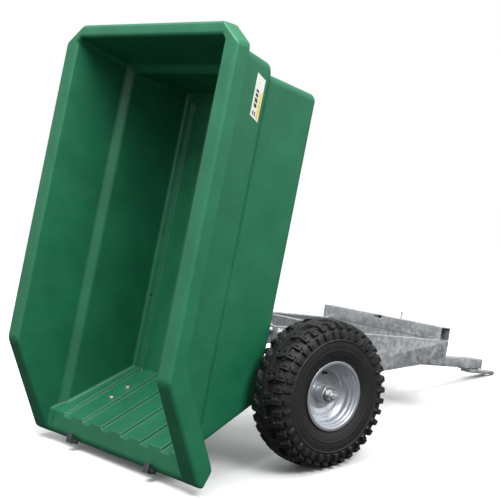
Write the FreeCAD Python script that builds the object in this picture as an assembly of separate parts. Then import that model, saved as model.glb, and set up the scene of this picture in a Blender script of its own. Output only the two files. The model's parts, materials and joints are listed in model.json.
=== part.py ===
import FreeCAD, Part
import math
import os

# Tipping garden trailer: a moulded tub hinged on a galvanised two-wheel frame.
# Lengths are millimetres. Three frames are used:
#   wheel and frame pieces: origin at the axle's centre, X forward, Y left, Z up, frame level;
#   tub pieces: origin where floor and ramp meet, same directions, tub lowered for travel;
#   row: +X forward, Z = 0 on the ground, with the hitch resting down and the tub tipped up.

V = FreeCAD.Vector
Y_AXIS = V(0, 1, 0)
Z_AXIS = V(0, 0, 1)
LEFT = 1
RIGHT = -1
SIDES = (("left", LEFT), ("right", RIGHT))

# wheel
TYRE_R = 254.0
TYRE_HALF_W = 84.0
TRACK_HALF = 487.0
LUG_COUNT = 26
LUG_DEPTH = 10.0
LUG_GAP_SHARE = 0.38
RIM_BARREL_R = 100.0
RIM_WELL_R = 82.0
RIM_FLANGE_R = 119.0
RIM_HALF_W = 76.0
RIM_T = 3.0
DISC_T = 4.0
HUB_R = 31.0
HUB_BORE_R = 26.0
HUB_LIP = 4.0
HUB_INNER_Y = -57.0
HUB_OUTER_Y = 48.0
BEARING_W = 15.0
VALVE_RADIUS = 74.0
VALVE_R = 4.0

# axle
BEAM_SIZE = 40.0
BEAM_WALL = 3.0
BEAM_HALF_LENGTH = 360.0
SHANK_LENGTH = 70.0
SHOULDER_R = 16.0
SPINDLE_R = 12.5
THREAD_R = 10.0
THREAD_LENGTH = 33.0
RUNNING_GAP = 0.05
END_GAP = 1.0
AXLE_WASHER_R = 20.0
AXLE_WASHER_T = 3.5
AXLE_NUT_FLATS = 30.0
AXLE_NUT_H = 18.0

# frame
MEMBER_OUTER_Y = 332.0
MEMBER_T = 4.0
MEMBER_TOP_Z = 197.0
MEMBER_REAR_X = -110.0
MEMBER_FRONT_X = 777.0
MEMBER_FRONT_LOW_Z = 122.0
MEMBER_AXLE_LOW_Z = -10.0
MEMBER_REAR_LOW_Z = 20.0
FLANGE_W = 35.0
CROSSBEAM_X = 752.0
CROSSBEAM_SIZE = 50.0
CROSSBEAM_WALL = 3.0
CROSS_T = 4.0
FRONT_CROSS_X = 734.0
FRONT_CROSS_FOOT = 44.0
MID_CROSS_X = 405.0
MID_CROSS_W = 40.0
CROSS_GAP = 0.5
DRAWBAR_W = 60.0
DRAWBAR_H = 40.0
DRAWBAR_WALL = 3.0
DRAWBAR_TOP_Z = 104.0
DRAWBAR_REAR_X = 390.0
DRAWBAR_FRONT_X = 1341.0
HITCH_T = 12.0
HITCH_SPACER = 8.0
HITCH_SPACER_X = (1250.0, 1330.0)
HITCH_SPACER_HALF_W = 24.0
HITCH_TOP_Z = DRAWBAR_TOP_Z - DRAWBAR_H - HITCH_SPACER
HITCH_REAR_X = 1275.0
HITCH_EYE_X = 1416.0
HITCH_HALF_W = 28.0
HITCH_BORE_R = 11.0

# pivot between the frame and the tub
PIVOT_X = -69.0
PIVOT_Z = 178.0
PIVOT_U = 243.0
PIVOT_BOLT_R = 8.0
PIVOT_FLATS = 24.0
PIVOT_HEAD_H = 10.0
PIVOT_NUT_H = 13.0
PIVOT_NUT_Y = 238.0
PIVOT_BOLT_END_Y = 232.0
PIVOT_WASHER_R = 13.0
PIVOT_WASHER_T = 2.5
BUSH_R = 12.0
BUSH_END_GAP = 0.5
BRACKET_T = 8.0
BRACKET_EYE_R = 24.0
BRACKET_HALF_L = 60.0
BRACKET_TOP_W = 4.0
BRACKET_SIDE_W = -20.0
TIP_DEG = 86.0

# tub
WALL = 6.0
WALL_LEVELS = ((0.0, 366.0, 1060.0), (250.0, 397.0, 1075.0), (272.0, 420.0, 1105.0), (498.0, 439.0, 1147.0))
WALL_CORNER = 14.0
GROOVE_DEPTH = 10.0
GROOVE_W = 54.0
GROOVE_CENTRES = (-300.0, -180.0, -60.0, 60.0, 180.0, 300.0)
GROOVE_FRONT_U = 1038.0
RAMP_DEG = 55.0
RAMP_FOOT_U = -12.0
RIM_W = 498.0
LIP_W = 303.0
LIP_U = -287.0
KINK_U = 24.0
SKIRT = 53.0
SKIRT_KINK_U = 90.0
SKIRT_CORNER = (-226.0, 261.5)
SKIRT_END_W = 287.0
SKIRT_HALF = 504.0
SKIRT_FRONT_U = 1188.0
CORNER_U = 67.0
CORNER_V = 93.0
FLOOR_END_GAP = 1.5
DRAIN_U = 270.0
DRAIN_V = 345.0
DRAIN_R = 7.0
FAR = 1400.0
WIDE = 600.0
HIGH = 700.0

# label on the tub's right wall
LABEL_CORNERS = ((902.0, 291.0), (1042.0, 291.0), (1060.0, 331.0), (920.0, 331.0))
LABEL_T = 0.5
LABEL_GAP = 0.05

# tub support bars, their straps and the ramp bolts
BAR_V = 240.0
BAR_W = 30.0
BAR_H = 50.0
BAR_WALL = 3.0
BAR_FRONT_U = 1000.0
STRAP_T = 8.0
HOOK_GAP = 1.0
HOOK_TOP_W = 322.0
HOOK_END_U = -262.0
RAMP_BOLT_HEIGHTS = (105.0, 167.0)
RAMP_BOLT_R = 5.0
RAMP_BOLT_TAIL = 14.0
RAMP_HEAD_R = 10.0
RAMP_HEAD_H = 4.0
RAMP_WASHER_R = 13.0
RAMP_WASHER_T = 2.0
RAMP_NUT_FLATS = 17.0
RAMP_NUT_H = 8.0

# latch
LATCH_X = 743.0
LATCH_Z = 225.0
LATCH_R = 6.0
LATCH_Y = (-170.0, 8.0)
LATCH_TRAVEL = 45.0
HANDLE_X = 765.0
HANDLE_Y = -78.0
HANDLE_R = 4.0
HANDLE_LENGTH = 54.0
SLOT_MARGIN = 1.5
GUIDE_Y = (-118.0, -8.0, 41.0)
GUIDE_T = 6.0
GUIDE_W = 27.0
GUIDE_H = 44.0

# striker under the tub, which drops into the crossbeam
STRIKER_T = 6.0
STRIKER_PLATE_T = 4.0
STRIKER_HALF_L = 10.0
STRIKER_BASE_L = 50.0
STRIKER_HALF_W = 24.0
STRIKER_LOW = 15.0
STRIKER_HOLE_GAP = 1.0
STRIKER_NOTCH_Y = (-10.0, 38.0)
STRIKER_NOTCH_H = 12.0
STRIKER_BOLT_V = -6.0
STRIKER_BOLT_BACK = (41.0, 24.0)
STRIKER_BOLT_R = 4.0
STRIKER_BOLT_L = 19.0
STRIKER_HEAD_R = 9.0
STRIKER_HEAD_H = 4.0
STRIKER_NUT_FLATS = 13.0
STRIKER_NUT_H = 6.5

# how far a cutter reaches past the face that it cuts
OVERCUT = 1.0


def box(low, high):
    """Box between two opposite corners."""
    return Part.makeBox(high[0] - low[0], high[1] - low[1], high[2] - low[2], V(*low))


def cylinder_y(radius, x, z, y_low, y_high):
    """Cylinder along Y between two stations."""
    return Part.makeCylinder(radius, y_high - y_low, V(x, y_low, z), Y_AXIS)


def mirrored(shape):
    """The same piece on the other side of the trailer."""
    return shape.mirror(V(0, 0, 0), Y_AXIS)


def for_side(shape, side):
    """A left-hand piece, put on the side asked for."""
    return shape if side == LEFT else mirrored(shape)


def side_profile(points, y_low, y_high):
    """Prism whose outline is given in the X-Z plane."""
    outline = [V(x, y_low, z) for x, z in points]
    face = Part.Face(Part.makePolygon(outline + outline[:1]))
    return face.extrude(V(0, y_high - y_low, 0))


def hexagon(across_flats, thickness):
    """Hexagonal prism standing on the XY plane."""
    radius = across_flats / math.sqrt(3.0)
    corners = [V(radius, 0, 0)]
    for step in range(1, 6):
        angle = math.radians(60.0 * step)
        corners.append(V(radius * math.cos(angle), radius * math.sin(angle), 0))
    face = Part.Face(Part.makePolygon(corners + corners[:1]))
    return face.extrude(V(0, 0, thickness))


def along(shape, direction, position):
    """Turn a piece built along Z to a direction and move it to a position."""
    piece = shape.copy()
    turn = FreeCAD.Placement(V(*position), FreeCAD.Rotation(Z_AXIS, direction))
    piece.Placement = turn.multiply(piece.Placement)
    return piece


def ring(outer_r, inner_r, thickness):
    """Washer standing on the XY plane."""
    disc = Part.makeCylinder(outer_r, thickness)
    return disc.cut(Part.makeCylinder(inner_r, thickness))


def hitch_pitch_deg():
    """Nose-down angle that sets the hitch plate's tip on the ground."""
    reach = HITCH_EYE_X + HITCH_HALF_W
    height = HITCH_TOP_Z - HITCH_T
    return math.degrees(math.asin(TYRE_R / math.hypot(reach, height)) + math.atan2(height, reach))


PITCH_DEG = hitch_pitch_deg()
# Depth of the pivot below the tub's lowest face, so that the lowered tub sits just over the crossbeam.
PIVOT_W = PIVOT_Z - (MEMBER_TOP_Z + CROSSBEAM_SIZE + FLOOR_END_GAP)


def frame_to_row(shape):
    """Frame piece: pitch nose-down about the axle, then lift to wheel height."""
    piece = shape.copy()
    piece.rotate(V(0, 0, 0), Y_AXIS, PITCH_DEG)
    piece.translate(V(0, 0, TYRE_R))
    return piece


def tub_to_row(shape):
    """Tub piece: hang it on the pivot, tip it up, then place it with the frame."""
    piece = shape.copy()
    piece.translate(V(PIVOT_X - PIVOT_U, 0, PIVOT_Z - PIVOT_W))
    piece.rotate(V(PIVOT_X, 0, PIVOT_Z), Y_AXIS, -TIP_DEG)
    return frame_to_row(piece)


def wheel_to_row(shape):
    """Wheel piece: lift to wheel height."""
    piece = shape.copy()
    piece.translate(V(0, 0, TYRE_R))
    return piece


# ---------------------------------------------------------------- wheels

def revolve_wheel(profile):
    """Solid of revolution about the wheel axle; the profile lists (y from wheel centre, radius)."""
    points = [V(0, y + TRACK_HALF, radius) for y, radius in profile]
    face = Part.Face(Part.makePolygon(points + points[:1]))
    return face.revolve(V(0, 0, 0), Y_AXIS, 360.0)


def tyre_carcass():
    """Hollow tyre: tread, bulging side walls and two beads on the rim."""
    bead_r = RIM_BARREL_R + 4.0
    bead_y = RIM_HALF_W - 7.0
    outside = [(-bead_y, bead_r), (-bead_y, RIM_FLANGE_R), (-79.0, 135.0), (-TYRE_HALF_W, 172.0),
               (-80.0, 205.0), (-70.0, 236.0), (-50.0, TYRE_R - 3.0), (0.0, TYRE_R)]
    inside = [(-58.0, bead_r), (-60.0, RIM_FLANGE_R), (-68.0, 140.0), (-72.0, 172.0),
              (-68.0, 200.0), (-58.0, 221.0), (0.0, 234.0)]
    half_out = outside[:-1]
    half_in = inside[:-1]
    profile = outside + [(-y, radius) for y, radius in reversed(half_out)]
    profile += [(-y, radius) for y, radius in half_in]
    profile += list(reversed(inside))
    return revolve_wheel(profile)


def tyre_grooves():
    """Cutters for the gaps between the tread lugs, staggered on the two shoulders."""
    gap = LUG_GAP_SHARE * 2.0 * math.pi * TYRE_R / LUG_COUNT
    middle_band = 12.0
    cutters = []
    for shoulder, phase in ((LEFT, 0.25), (RIGHT, 0.75)):
        inner_y = TRACK_HALF + shoulder * middle_band
        outer_y = TRACK_HALF + shoulder * (TYRE_HALF_W + OVERCUT)
        low_y, high_y = sorted((inner_y, outer_y))
        for index in range(LUG_COUNT):
            cutter = box((-gap / 2.0, low_y, TYRE_R - LUG_DEPTH), (gap / 2.0, high_y, TYRE_R + OVERCUT))
            angle = (index + phase) * 360.0 / LUG_COUNT
            cutter.rotate(V(0, 0, 0), Y_AXIS, angle)
            cutters.append(cutter)
    return Part.makeCompound(cutters)


def make_tyre():
    """Knobbly tyre with one full lug of each shoulder near the ground."""
    return tyre_carcass().cut(tyre_grooves())


def make_rim():
    """Pressed steel rim: barrel with two flanges, a stepped well and a centre disc."""
    edge = RIM_HALF_W
    seat = RIM_BARREL_R + 1.0
    step = RIM_BARREL_R - 1.0
    outside = [(-edge, RIM_FLANGE_R), (-edge, seat), (-34.0, step), (-26.0, RIM_WELL_R),
               (22.0, RIM_WELL_R), (34.0, step), (edge, seat), (edge, RIM_FLANGE_R)]
    tyre_side = [(edge - RIM_T, RIM_FLANGE_R), (edge - RIM_T, seat + RIM_T), (36.0, step + RIM_T),
                 (24.0, RIM_WELL_R + RIM_T), (-28.0, RIM_WELL_R + RIM_T), (-36.0, step + RIM_T),
                 (RIM_T - edge, seat + RIM_T), (RIM_T - edge, RIM_FLANGE_R)]
    disc_front = [(4.0, HUB_R), (4.0, 58.0), (14.0, 66.0), (14.0, RIM_WELL_R + 0.5)]
    disc_back = [(y + DISC_T, radius) for y, radius in reversed(disc_front)]
    rim = revolve_wheel(outside + tyre_side).fuse(revolve_wheel(disc_front + disc_back))
    valve_hole = cylinder_y(VALVE_R, 0, VALVE_RADIUS, TRACK_HALF, TRACK_HALF + 30.0)
    return rim.cut(valve_hole).removeSplitter()


def make_hub():
    """Hub tube welded through the disc, counterbored at each end for a bearing."""
    inner_end = TRACK_HALF + HUB_INNER_Y
    outer_end = TRACK_HALF + HUB_OUTER_Y
    tube = cylinder_y(HUB_R, 0, 0, inner_end, outer_end)
    tube = tube.cut(cylinder_y(HUB_BORE_R - HUB_LIP, 0, 0, inner_end, outer_end))
    tube = tube.cut(cylinder_y(HUB_BORE_R, 0, 0, inner_end, inner_end + BEARING_W))
    return tube.cut(cylinder_y(HUB_BORE_R, 0, 0, outer_end - BEARING_W, outer_end))


def make_bearings():
    """Two ball bearings, each shown as its sealed ring."""
    bore = SPINDLE_R + RUNNING_GAP
    rings = []
    for start in (TRACK_HALF + HUB_INNER_Y, TRACK_HALF + HUB_OUTER_Y - BEARING_W):
        rings.append(along(ring(HUB_BORE_R, bore, BEARING_W), Y_AXIS, (0, start, 0)))
    return Part.makeCompound(rings)


def make_valve():
    """Snap-in tyre valve through the disc."""
    disc_back = TRACK_HALF + 14.0
    collar_y = disc_back + DISC_T
    stem = cylinder_y(VALVE_R, 0, VALVE_RADIUS, disc_back - 1.0, collar_y + 24.0)
    collar = cylinder_y(VALVE_R + 2.5, 0, VALVE_RADIUS, collar_y, collar_y + 5.0)
    return stem.fuse(collar)


# ---------------------------------------------------------------- axle

def make_axle_beam():
    """Square tube across the frame."""
    half = BEAM_SIZE / 2.0
    inner = half - BEAM_WALL
    tube = box((-half, -BEAM_HALF_LENGTH, -half), (half, BEAM_HALF_LENGTH, half))
    return tube.cut(box((-inner, -BEAM_HALF_LENGTH, -inner), (inner, BEAM_HALF_LENGTH, inner)))


def make_stub_axle():
    """Square shank inside the beam, a round spindle for the wheel and a threaded end."""
    inner = BEAM_SIZE / 2.0 - BEAM_WALL
    inner_end = TRACK_HALF + HUB_INNER_Y - END_GAP
    outer_end = TRACK_HALF + HUB_OUTER_Y + END_GAP
    shank = box((-inner, BEAM_HALF_LENGTH - SHANK_LENGTH, -inner), (inner, BEAM_HALF_LENGTH, inner))
    shoulder = cylinder_y(SHOULDER_R, 0, 0, BEAM_HALF_LENGTH, inner_end)
    spindle = cylinder_y(SPINDLE_R, 0, 0, inner_end, outer_end)
    thread = cylinder_y(THREAD_R, 0, 0, outer_end, outer_end + THREAD_LENGTH)
    return shank.fuse([shoulder, spindle, thread]).removeSplitter()


def axle_washer_y():
    """Inner face of the washer, just clear of the outer bearing."""
    return TRACK_HALF + HUB_OUTER_Y + 1.5 * END_GAP


def make_axle_washer():
    """Washer against the outer bearing."""
    return along(ring(AXLE_WASHER_R, THREAD_R, AXLE_WASHER_T), Y_AXIS, (0, axle_washer_y(), 0))


def make_axle_nut():
    """Wheel retaining nut on the stub axle."""
    blank = hexagon(AXLE_NUT_FLATS, AXLE_NUT_H).cut(Part.makeCylinder(THREAD_R, AXLE_NUT_H))
    return along(blank, Y_AXIS, (0, axle_washer_y() + AXLE_WASHER_T, 0))


# ---------------------------------------------------------------- frame

def make_side_member():
    """Tapered plate with an inward top flange, notched over the axle beam."""
    outer = MEMBER_OUTER_Y
    inner = outer - MEMBER_T
    outline = [(MEMBER_REAR_X, MEMBER_TOP_Z), (MEMBER_FRONT_X, MEMBER_TOP_Z),
               (MEMBER_FRONT_X - MEMBER_T, MEMBER_FRONT_LOW_Z), (0.0, MEMBER_AXLE_LOW_Z),
               (MEMBER_REAR_X, MEMBER_REAR_LOW_Z)]
    web = side_profile(outline, inner, outer)
    flange = box((MEMBER_REAR_X, outer - FLANGE_W, MEMBER_TOP_Z - MEMBER_T),
                 (MEMBER_FRONT_X, outer, MEMBER_TOP_Z))
    half = BEAM_SIZE / 2.0
    notch = box((-half, inner - OVERCUT, -half), (half, outer + OVERCUT, half))
    hole = cylinder_y(PIVOT_BOLT_R + 0.5, PIVOT_X, PIVOT_Z, inner - OVERCUT, outer + OVERCUT)
    return web.fuse(flange).cut(notch).cut(hole).removeSplitter()


def make_crossbeam():
    """Square tube with open ends, slotted for the latch handle and notched for the striker."""
    half = CROSSBEAM_SIZE / 2.0
    rear_x = CROSSBEAM_X - half
    front_x = CROSSBEAM_X + half
    top_z = MEMBER_TOP_Z + CROSSBEAM_SIZE
    wall = CROSSBEAM_WALL
    end_y = MEMBER_OUTER_Y
    tube = box((rear_x, -end_y, MEMBER_TOP_Z), (front_x, end_y, top_z))
    bore = box((rear_x + wall, -end_y, MEMBER_TOP_Z + wall), (front_x - wall, end_y, top_z - wall))
    reach = HANDLE_R + SLOT_MARGIN
    slot = box((HANDLE_X - reach, HANDLE_Y - reach, top_z - wall - OVERCUT),
               (HANDLE_X + reach, HANDLE_Y + LATCH_TRAVEL + reach, top_z + OVERCUT))
    notch = box((rear_x - OVERCUT, STRIKER_NOTCH_Y[0], top_z - STRIKER_NOTCH_H),
                (LATCH_X + STRIKER_HALF_L + 3.0, STRIKER_NOTCH_Y[1], top_z + OVERCUT))
    return tube.cut(bore).cut(slot).cut(notch)


def make_front_cross():
    """Folded angle that carries the drawbar; between the flanges it reaches up to the crossbeam."""
    y_end = MEMBER_OUTER_Y - MEMBER_T - CROSS_GAP
    low = DRAWBAR_TOP_Z
    high = MEMBER_TOP_Z - MEMBER_T
    back = box((FRONT_CROSS_X - CROSS_T, -y_end, low), (FRONT_CROSS_X, y_end, high))
    tongue_y = MEMBER_OUTER_Y - FLANGE_W - CROSS_GAP
    tongue = box((FRONT_CROSS_X - CROSS_T, -tongue_y, high), (FRONT_CROSS_X, tongue_y, MEMBER_TOP_Z))
    foot = box((FRONT_CROSS_X - FRONT_CROSS_FOOT, -y_end, low), (FRONT_CROSS_X, y_end, low + CROSS_T))
    return back.fuse([tongue, foot]).removeSplitter()


def make_mid_cross():
    """Channel between the side members that carries the drawbar's rear end."""
    y_end = MEMBER_OUTER_Y - MEMBER_T - CROSS_GAP
    front_x = MID_CROSS_X + MID_CROSS_W
    low = DRAWBAR_TOP_Z
    high = MEMBER_TOP_Z - 2.0 * MEMBER_T
    back = box((MID_CROSS_X, -y_end, low), (MID_CROSS_X + CROSS_T, y_end, high))
    top = box((MID_CROSS_X, -y_end, high - CROSS_T), (front_x, y_end, high))
    bottom = box((MID_CROSS_X, -y_end, low), (front_x, y_end, low + CROSS_T))
    return back.fuse([top, bottom]).removeSplitter()


def make_drawbar():
    """Rectangular tube under the frame."""
    half = DRAWBAR_W / 2.0
    wall = DRAWBAR_WALL
    low = DRAWBAR_TOP_Z - DRAWBAR_H
    tube = box((DRAWBAR_REAR_X, -half, low), (DRAWBAR_FRONT_X, half, DRAWBAR_TOP_Z))
    bore = box((DRAWBAR_REAR_X, wall - half, low + wall),
               (DRAWBAR_FRONT_X, half - wall, DRAWBAR_TOP_Z - wall))
    return tube.cut(bore)


def make_hitch_plate():
    """Flat bar under the drawbar's front end, with a round eye for the towing pin."""
    low = HITCH_TOP_Z - HITCH_T
    bar = box((HITCH_REAR_X, -HITCH_HALF_W, low), (HITCH_EYE_X, HITCH_HALF_W, HITCH_TOP_Z))
    eye = Part.makeCylinder(HITCH_HALF_W, HITCH_T, V(HITCH_EYE_X, 0, low))
    hole = Part.makeCylinder(HITCH_BORE_R, HITCH_T, V(HITCH_EYE_X, 0, low))
    return bar.fuse(eye).cut(hole).removeSplitter()


def make_hitch_spacer():
    """Packing block welded between the drawbar and the hitch plate."""
    rear_x, front_x = HITCH_SPACER_X
    half = HITCH_SPACER_HALF_W
    return box((rear_x, -half, HITCH_TOP_Z), (front_x, half, HITCH_TOP_Z + HITCH_SPACER))


def pivot_bolt():
    """One hexagon-head pivot bolt through the web, the bush and the bracket."""
    head_y = MEMBER_OUTER_Y + PIVOT_HEAD_H
    shank = cylinder_y(PIVOT_BOLT_R, PIVOT_X, PIVOT_Z, PIVOT_BOLT_END_Y, MEMBER_OUTER_Y)
    head = along(hexagon(PIVOT_FLATS, PIVOT_HEAD_H), V(0, -1, 0), (PIVOT_X, head_y, PIVOT_Z))
    return head.fuse(shank).removeSplitter()


def pivot_nut():
    """One nut on the inner end of a pivot bolt."""
    blank = hexagon(PIVOT_FLATS, PIVOT_NUT_H).cut(Part.makeCylinder(PIVOT_BOLT_R, PIVOT_NUT_H))
    return along(blank, Y_AXIS, (PIVOT_X, PIVOT_NUT_Y, PIVOT_Z))


def pivot_washers():
    """Washers at the web and at the nut of one pivot."""
    washer = ring(PIVOT_WASHER_R, PIVOT_BOLT_R, PIVOT_WASHER_T)
    at_nut = PIVOT_NUT_Y + PIVOT_NUT_H + 0.5
    at_web = MEMBER_OUTER_Y - MEMBER_T - PIVOT_WASHER_T
    return [along(washer, Y_AXIS, (PIVOT_X, y, PIVOT_Z)) for y in (at_nut, at_web)]


def both(shapes):
    """Group node: the left-hand pieces and their mirror images."""
    return Part.makeCompound(shapes + [mirrored(shape) for shape in shapes])


# ---------------------------------------------------------------- latch

def make_latch_bolt():
    """Sliding bolt in the crossbeam with a cranked handle through the top slot."""
    rod = cylinder_y(LATCH_R, LATCH_X, LATCH_Z, LATCH_Y[0], LATCH_Y[1])
    half = HANDLE_R
    low = LATCH_Z - half
    arm = box((LATCH_X, HANDLE_Y - half, low), (HANDLE_X, HANDLE_Y + half, LATCH_Z + half))
    handle = Part.makeCylinder(HANDLE_R, HANDLE_LENGTH, V(HANDLE_X, HANDLE_Y, low))
    return rod.fuse([arm, handle]).removeSplitter()


def make_latch_guides():
    """Three guide plates welded inside the crossbeam."""
    rear_x = CROSSBEAM_X - CROSSBEAM_SIZE / 2.0 + CROSSBEAM_WALL
    low = MEMBER_TOP_Z + CROSSBEAM_WALL
    plates = []
    for y in GUIDE_Y:
        plate = box((rear_x, y, low), (rear_x + GUIDE_W, y + GUIDE_T, low + GUIDE_H))
        bore = cylinder_y(LATCH_R + RUNNING_GAP, LATCH_X, LATCH_Z, y - OVERCUT, y + GUIDE_T + OVERCUT)
        plates.append(plate.cut(bore))
    return Part.makeCompound(plates)


def frame_to_tub_u(x):
    """Tub-frame station of a frame station while the tub is lowered."""
    return x + PIVOT_U - PIVOT_X


def frame_to_tub_w(z):
    """Tub-frame height of a frame height while the tub is lowered."""
    return z + PIVOT_W - PIVOT_Z


def make_striker():
    """Plate under the tub's front that drops into the crossbeam for the bolt."""
    rear_u = frame_to_tub_u(LATCH_X) - STRIKER_HALF_L
    front_u = frame_to_tub_u(LATCH_X) + STRIKER_HALF_L
    half = STRIKER_HALF_W
    low_w = frame_to_tub_w(MEMBER_TOP_Z + STRIKER_LOW)
    base = box((front_u - STRIKER_BASE_L, -half, GROOVE_DEPTH - STRIKER_PLATE_T),
               (front_u, half, GROOVE_DEPTH))
    tongue = box((rear_u, half - STRIKER_T, low_w), (front_u, half, GROOVE_DEPTH))
    hole = cylinder_y(LATCH_R + STRIKER_HOLE_GAP, frame_to_tub_u(LATCH_X), frame_to_tub_w(LATCH_Z),
                      half - STRIKER_T - OVERCUT, half + OVERCUT)
    return base.fuse(tongue).cut(hole).cut(striker_bolt_holes()).removeSplitter()


def striker_bolt_places():
    """Where the two bolts that hold the striker pass the floor's underside."""
    front_u = frame_to_tub_u(LATCH_X) + STRIKER_HALF_L
    return [V(front_u - back, STRIKER_BOLT_V, GROOVE_DEPTH) for back in STRIKER_BOLT_BACK]


def striker_bolt_holes():
    """Cutters for the striker's bolts through its base and the tub floor."""
    reach = V(0, 0, 20.0)
    holes = [Part.makeCylinder(STRIKER_BOLT_R, 40.0, place - reach) for place in striker_bolt_places()]
    return Part.makeCompound(holes)


def make_striker_bolts():
    """Round-head bolts through the tub floor with their nuts as one clamped set each."""
    bolts = []
    for place in striker_bolt_places():
        floor = place + V(0, 0, WALL)
        head = Part.makeCylinder(STRIKER_HEAD_R, STRIKER_HEAD_H, floor)
        shank = Part.makeCylinder(STRIKER_BOLT_R, STRIKER_BOLT_L, floor - V(0, 0, STRIKER_BOLT_L))
        nut = hexagon(STRIKER_NUT_FLATS, STRIKER_NUT_H)
        nut.translate(place - V(0, 0, STRIKER_PLATE_T + STRIKER_NUT_H))
        bolts.append(head.fuse([shank, nut]).removeSplitter())
    return Part.makeCompound(bolts)


# ---------------------------------------------------------------- tub

def ramp_u(w, inset):
    """Forward position on a plane parallel to the ramp, inset from its underside."""
    angle = math.radians(RAMP_DEG)
    return RAMP_FOOT_U + (inset - math.cos(angle) * w) / math.sin(angle)


def tub_level(w, half_width, front_u, inset):
    """Horizontal section through the tub's walls, moved inwards and open to the rear."""
    half = half_width - inset
    front = front_u - inset
    rear = LIP_U - 60.0
    side = front - WALL_CORNER
    across = half - WALL_CORNER
    return [V(rear, -half, w), V(side, -half, w), V(front, -across, w),
            V(front, across, w), V(side, half, w), V(rear, half, w)]


def upper_wall(w):
    """Half width and front of the walls above the ledge at a height."""
    lower, upper = WALL_LEVELS[2:]
    share = (w - lower[0]) / (upper[0] - lower[0])
    return [a + share * (b - a) for a, b in zip(lower[1:], upper[1:])]


def stacked_solid(levels):
    """Flat-faced solid through a stack of sections with matching corners."""
    faces = [Part.Face(Part.makePolygon(level + level[:1])) for level in (levels[0], levels[-1])]
    for lower, upper in zip(levels, levels[1:]):
        for index in range(len(lower)):
            follow = (index + 1) % len(lower)
            quad = [lower[index], lower[follow], upper[follow], upper[index], lower[index]]
            faces.append(Part.Face(Part.makePolygon(quad)))
    return Part.Solid(Part.Shell(faces))


def tub_walls(top_w, inset):
    """Block bounded by the four walls up to a height, moved inwards by the inset."""
    levels = [tub_level(0.0, *WALL_LEVELS[0][1:], inset)]
    for level in WALL_LEVELS[1:3]:
        levels.append(tub_level(level[0] + inset, *level[1:], inset))
    levels.append(tub_level(top_w, *upper_wall(top_w), inset))
    return stacked_solid(levels)


def tub_outside():
    """Outer block: walls, floor underside, ramp underside and sloping side rims."""
    floor_w = GROOVE_DEPTH
    lip_low = LIP_W - WALL
    outline = [(FAR, floor_w), (ramp_u(floor_w, floor_w), floor_w), (ramp_u(lip_low, floor_w), lip_low),
               (LIP_U, lip_low), (LIP_U, LIP_W), (KINK_U, RIM_W), (FAR, RIM_W)]
    return tub_walls(RIM_W, 0.0).common(side_profile(outline, -WIDE, WIDE))


def tub_cavity():
    """Inner block: everything the load can fill, open at the top and over the lip."""
    floor_w = GROOVE_DEPTH + WALL
    past_lip = LIP_U - OVERCUT
    outline = [(FAR, floor_w), (ramp_u(floor_w, floor_w), floor_w), (ramp_u(LIP_W, floor_w), LIP_W),
               (past_lip, LIP_W), (past_lip, HIGH), (FAR, HIGH)]
    return tub_walls(HIGH + OVERCUT, WALL).common(side_profile(outline, -WIDE, WIDE))


def groove_run(centre, width, low, high, front_u, top_w):
    """One lengthwise channel between two insets, along the floor and up the ramp."""
    points = [(front_u, low), (ramp_u(low, low), low), (ramp_u(top_w, low), top_w),
              (ramp_u(top_w, high), top_w), (ramp_u(high, high), high), (front_u, high)]
    return side_profile(points, centre - width / 2.0, centre + width / 2.0)


def groove_skins():
    """Pressed-down channels under the floor and ramp."""
    width = GROOVE_W + 2.0 * WALL
    return [groove_run(centre, width, 0.0, GROOVE_DEPTH + OVERCUT, GROOVE_FRONT_U, LIP_W)
            for centre in GROOVE_CENTRES]


def groove_hollows():
    """The hollows of the channels, running out over the lip."""
    high = GROOVE_DEPTH + WALL + OVERCUT
    return [groove_run(centre, GROOVE_W, WALL, high, GROOVE_FRONT_U - WALL, LIP_W + OVERCUT)
            for centre in GROOVE_CENTRES]


def rim_band():
    """Bent layer as thick as the wall, under the rim's top face."""
    slope = math.atan2(RIM_W - LIP_W, KINK_U - LIP_U)
    kink_u = KINK_U + WALL * math.tan(slope / 2.0)
    lip_low = LIP_W - WALL / math.cos(slope)
    outline = [(FAR, RIM_W), (KINK_U, RIM_W), (LIP_U, LIP_W), (LIP_U, lip_low),
               (kink_u, RIM_W - WALL), (FAR, RIM_W - WALL)]
    return side_profile(outline, -WIDE, WIDE)


def skirt_band():
    """Bent layer as deep as the skirt, deepest on the slope and cut back at the lip."""
    outline = [(FAR, RIM_W), (KINK_U, RIM_W), (LIP_U, LIP_W), (LIP_U, SKIRT_END_W), SKIRT_CORNER,
               (SKIRT_KINK_U, RIM_W - SKIRT), (FAR, RIM_W - SKIRT)]
    return side_profile(outline, -WIDE, WIDE)


def rim_outline(inset):
    """Upright block with the rim's outline in plan, its front corners cut off."""
    half = SKIRT_HALF - inset
    front = SKIRT_FRONT_U - inset
    cut_u = CORNER_U - 0.5 * inset
    cut_v = CORNER_V - 0.5 * inset
    rear = LIP_U - OVERCUT
    points = [V(rear, -half, 0), V(front - cut_u, -half, 0), V(front, cut_v - half, 0),
              V(front, half - cut_v, 0), V(front - cut_u, half, 0), V(rear, half, 0)]
    face = Part.Face(Part.makePolygon(points + points[:1]))
    return face.extrude(V(0, 0, HIGH))


def make_rim_flange():
    """Flat rim with a turned-down skirt on the front and both sides."""
    half_mouth = 400.0
    between_walls = box((LIP_U - OVERCUT, -half_mouth, 0.0), (KINK_U, half_mouth, HIGH))
    top = rim_band().common(rim_outline(0.0)).cut(between_walls)
    skirt = skirt_band().common(rim_outline(0.0).cut(rim_outline(WALL)))
    return top.fuse(skirt)


def ramp_point(w, inset, v):
    """Point on a plane parallel to the ramp."""
    return V(ramp_u(w, inset), v, w)


def ramp_normal():
    """Direction square to the ramp, into the tub."""
    angle = math.radians(RAMP_DEG)
    return V(math.sin(angle), 0, math.cos(angle))


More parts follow.
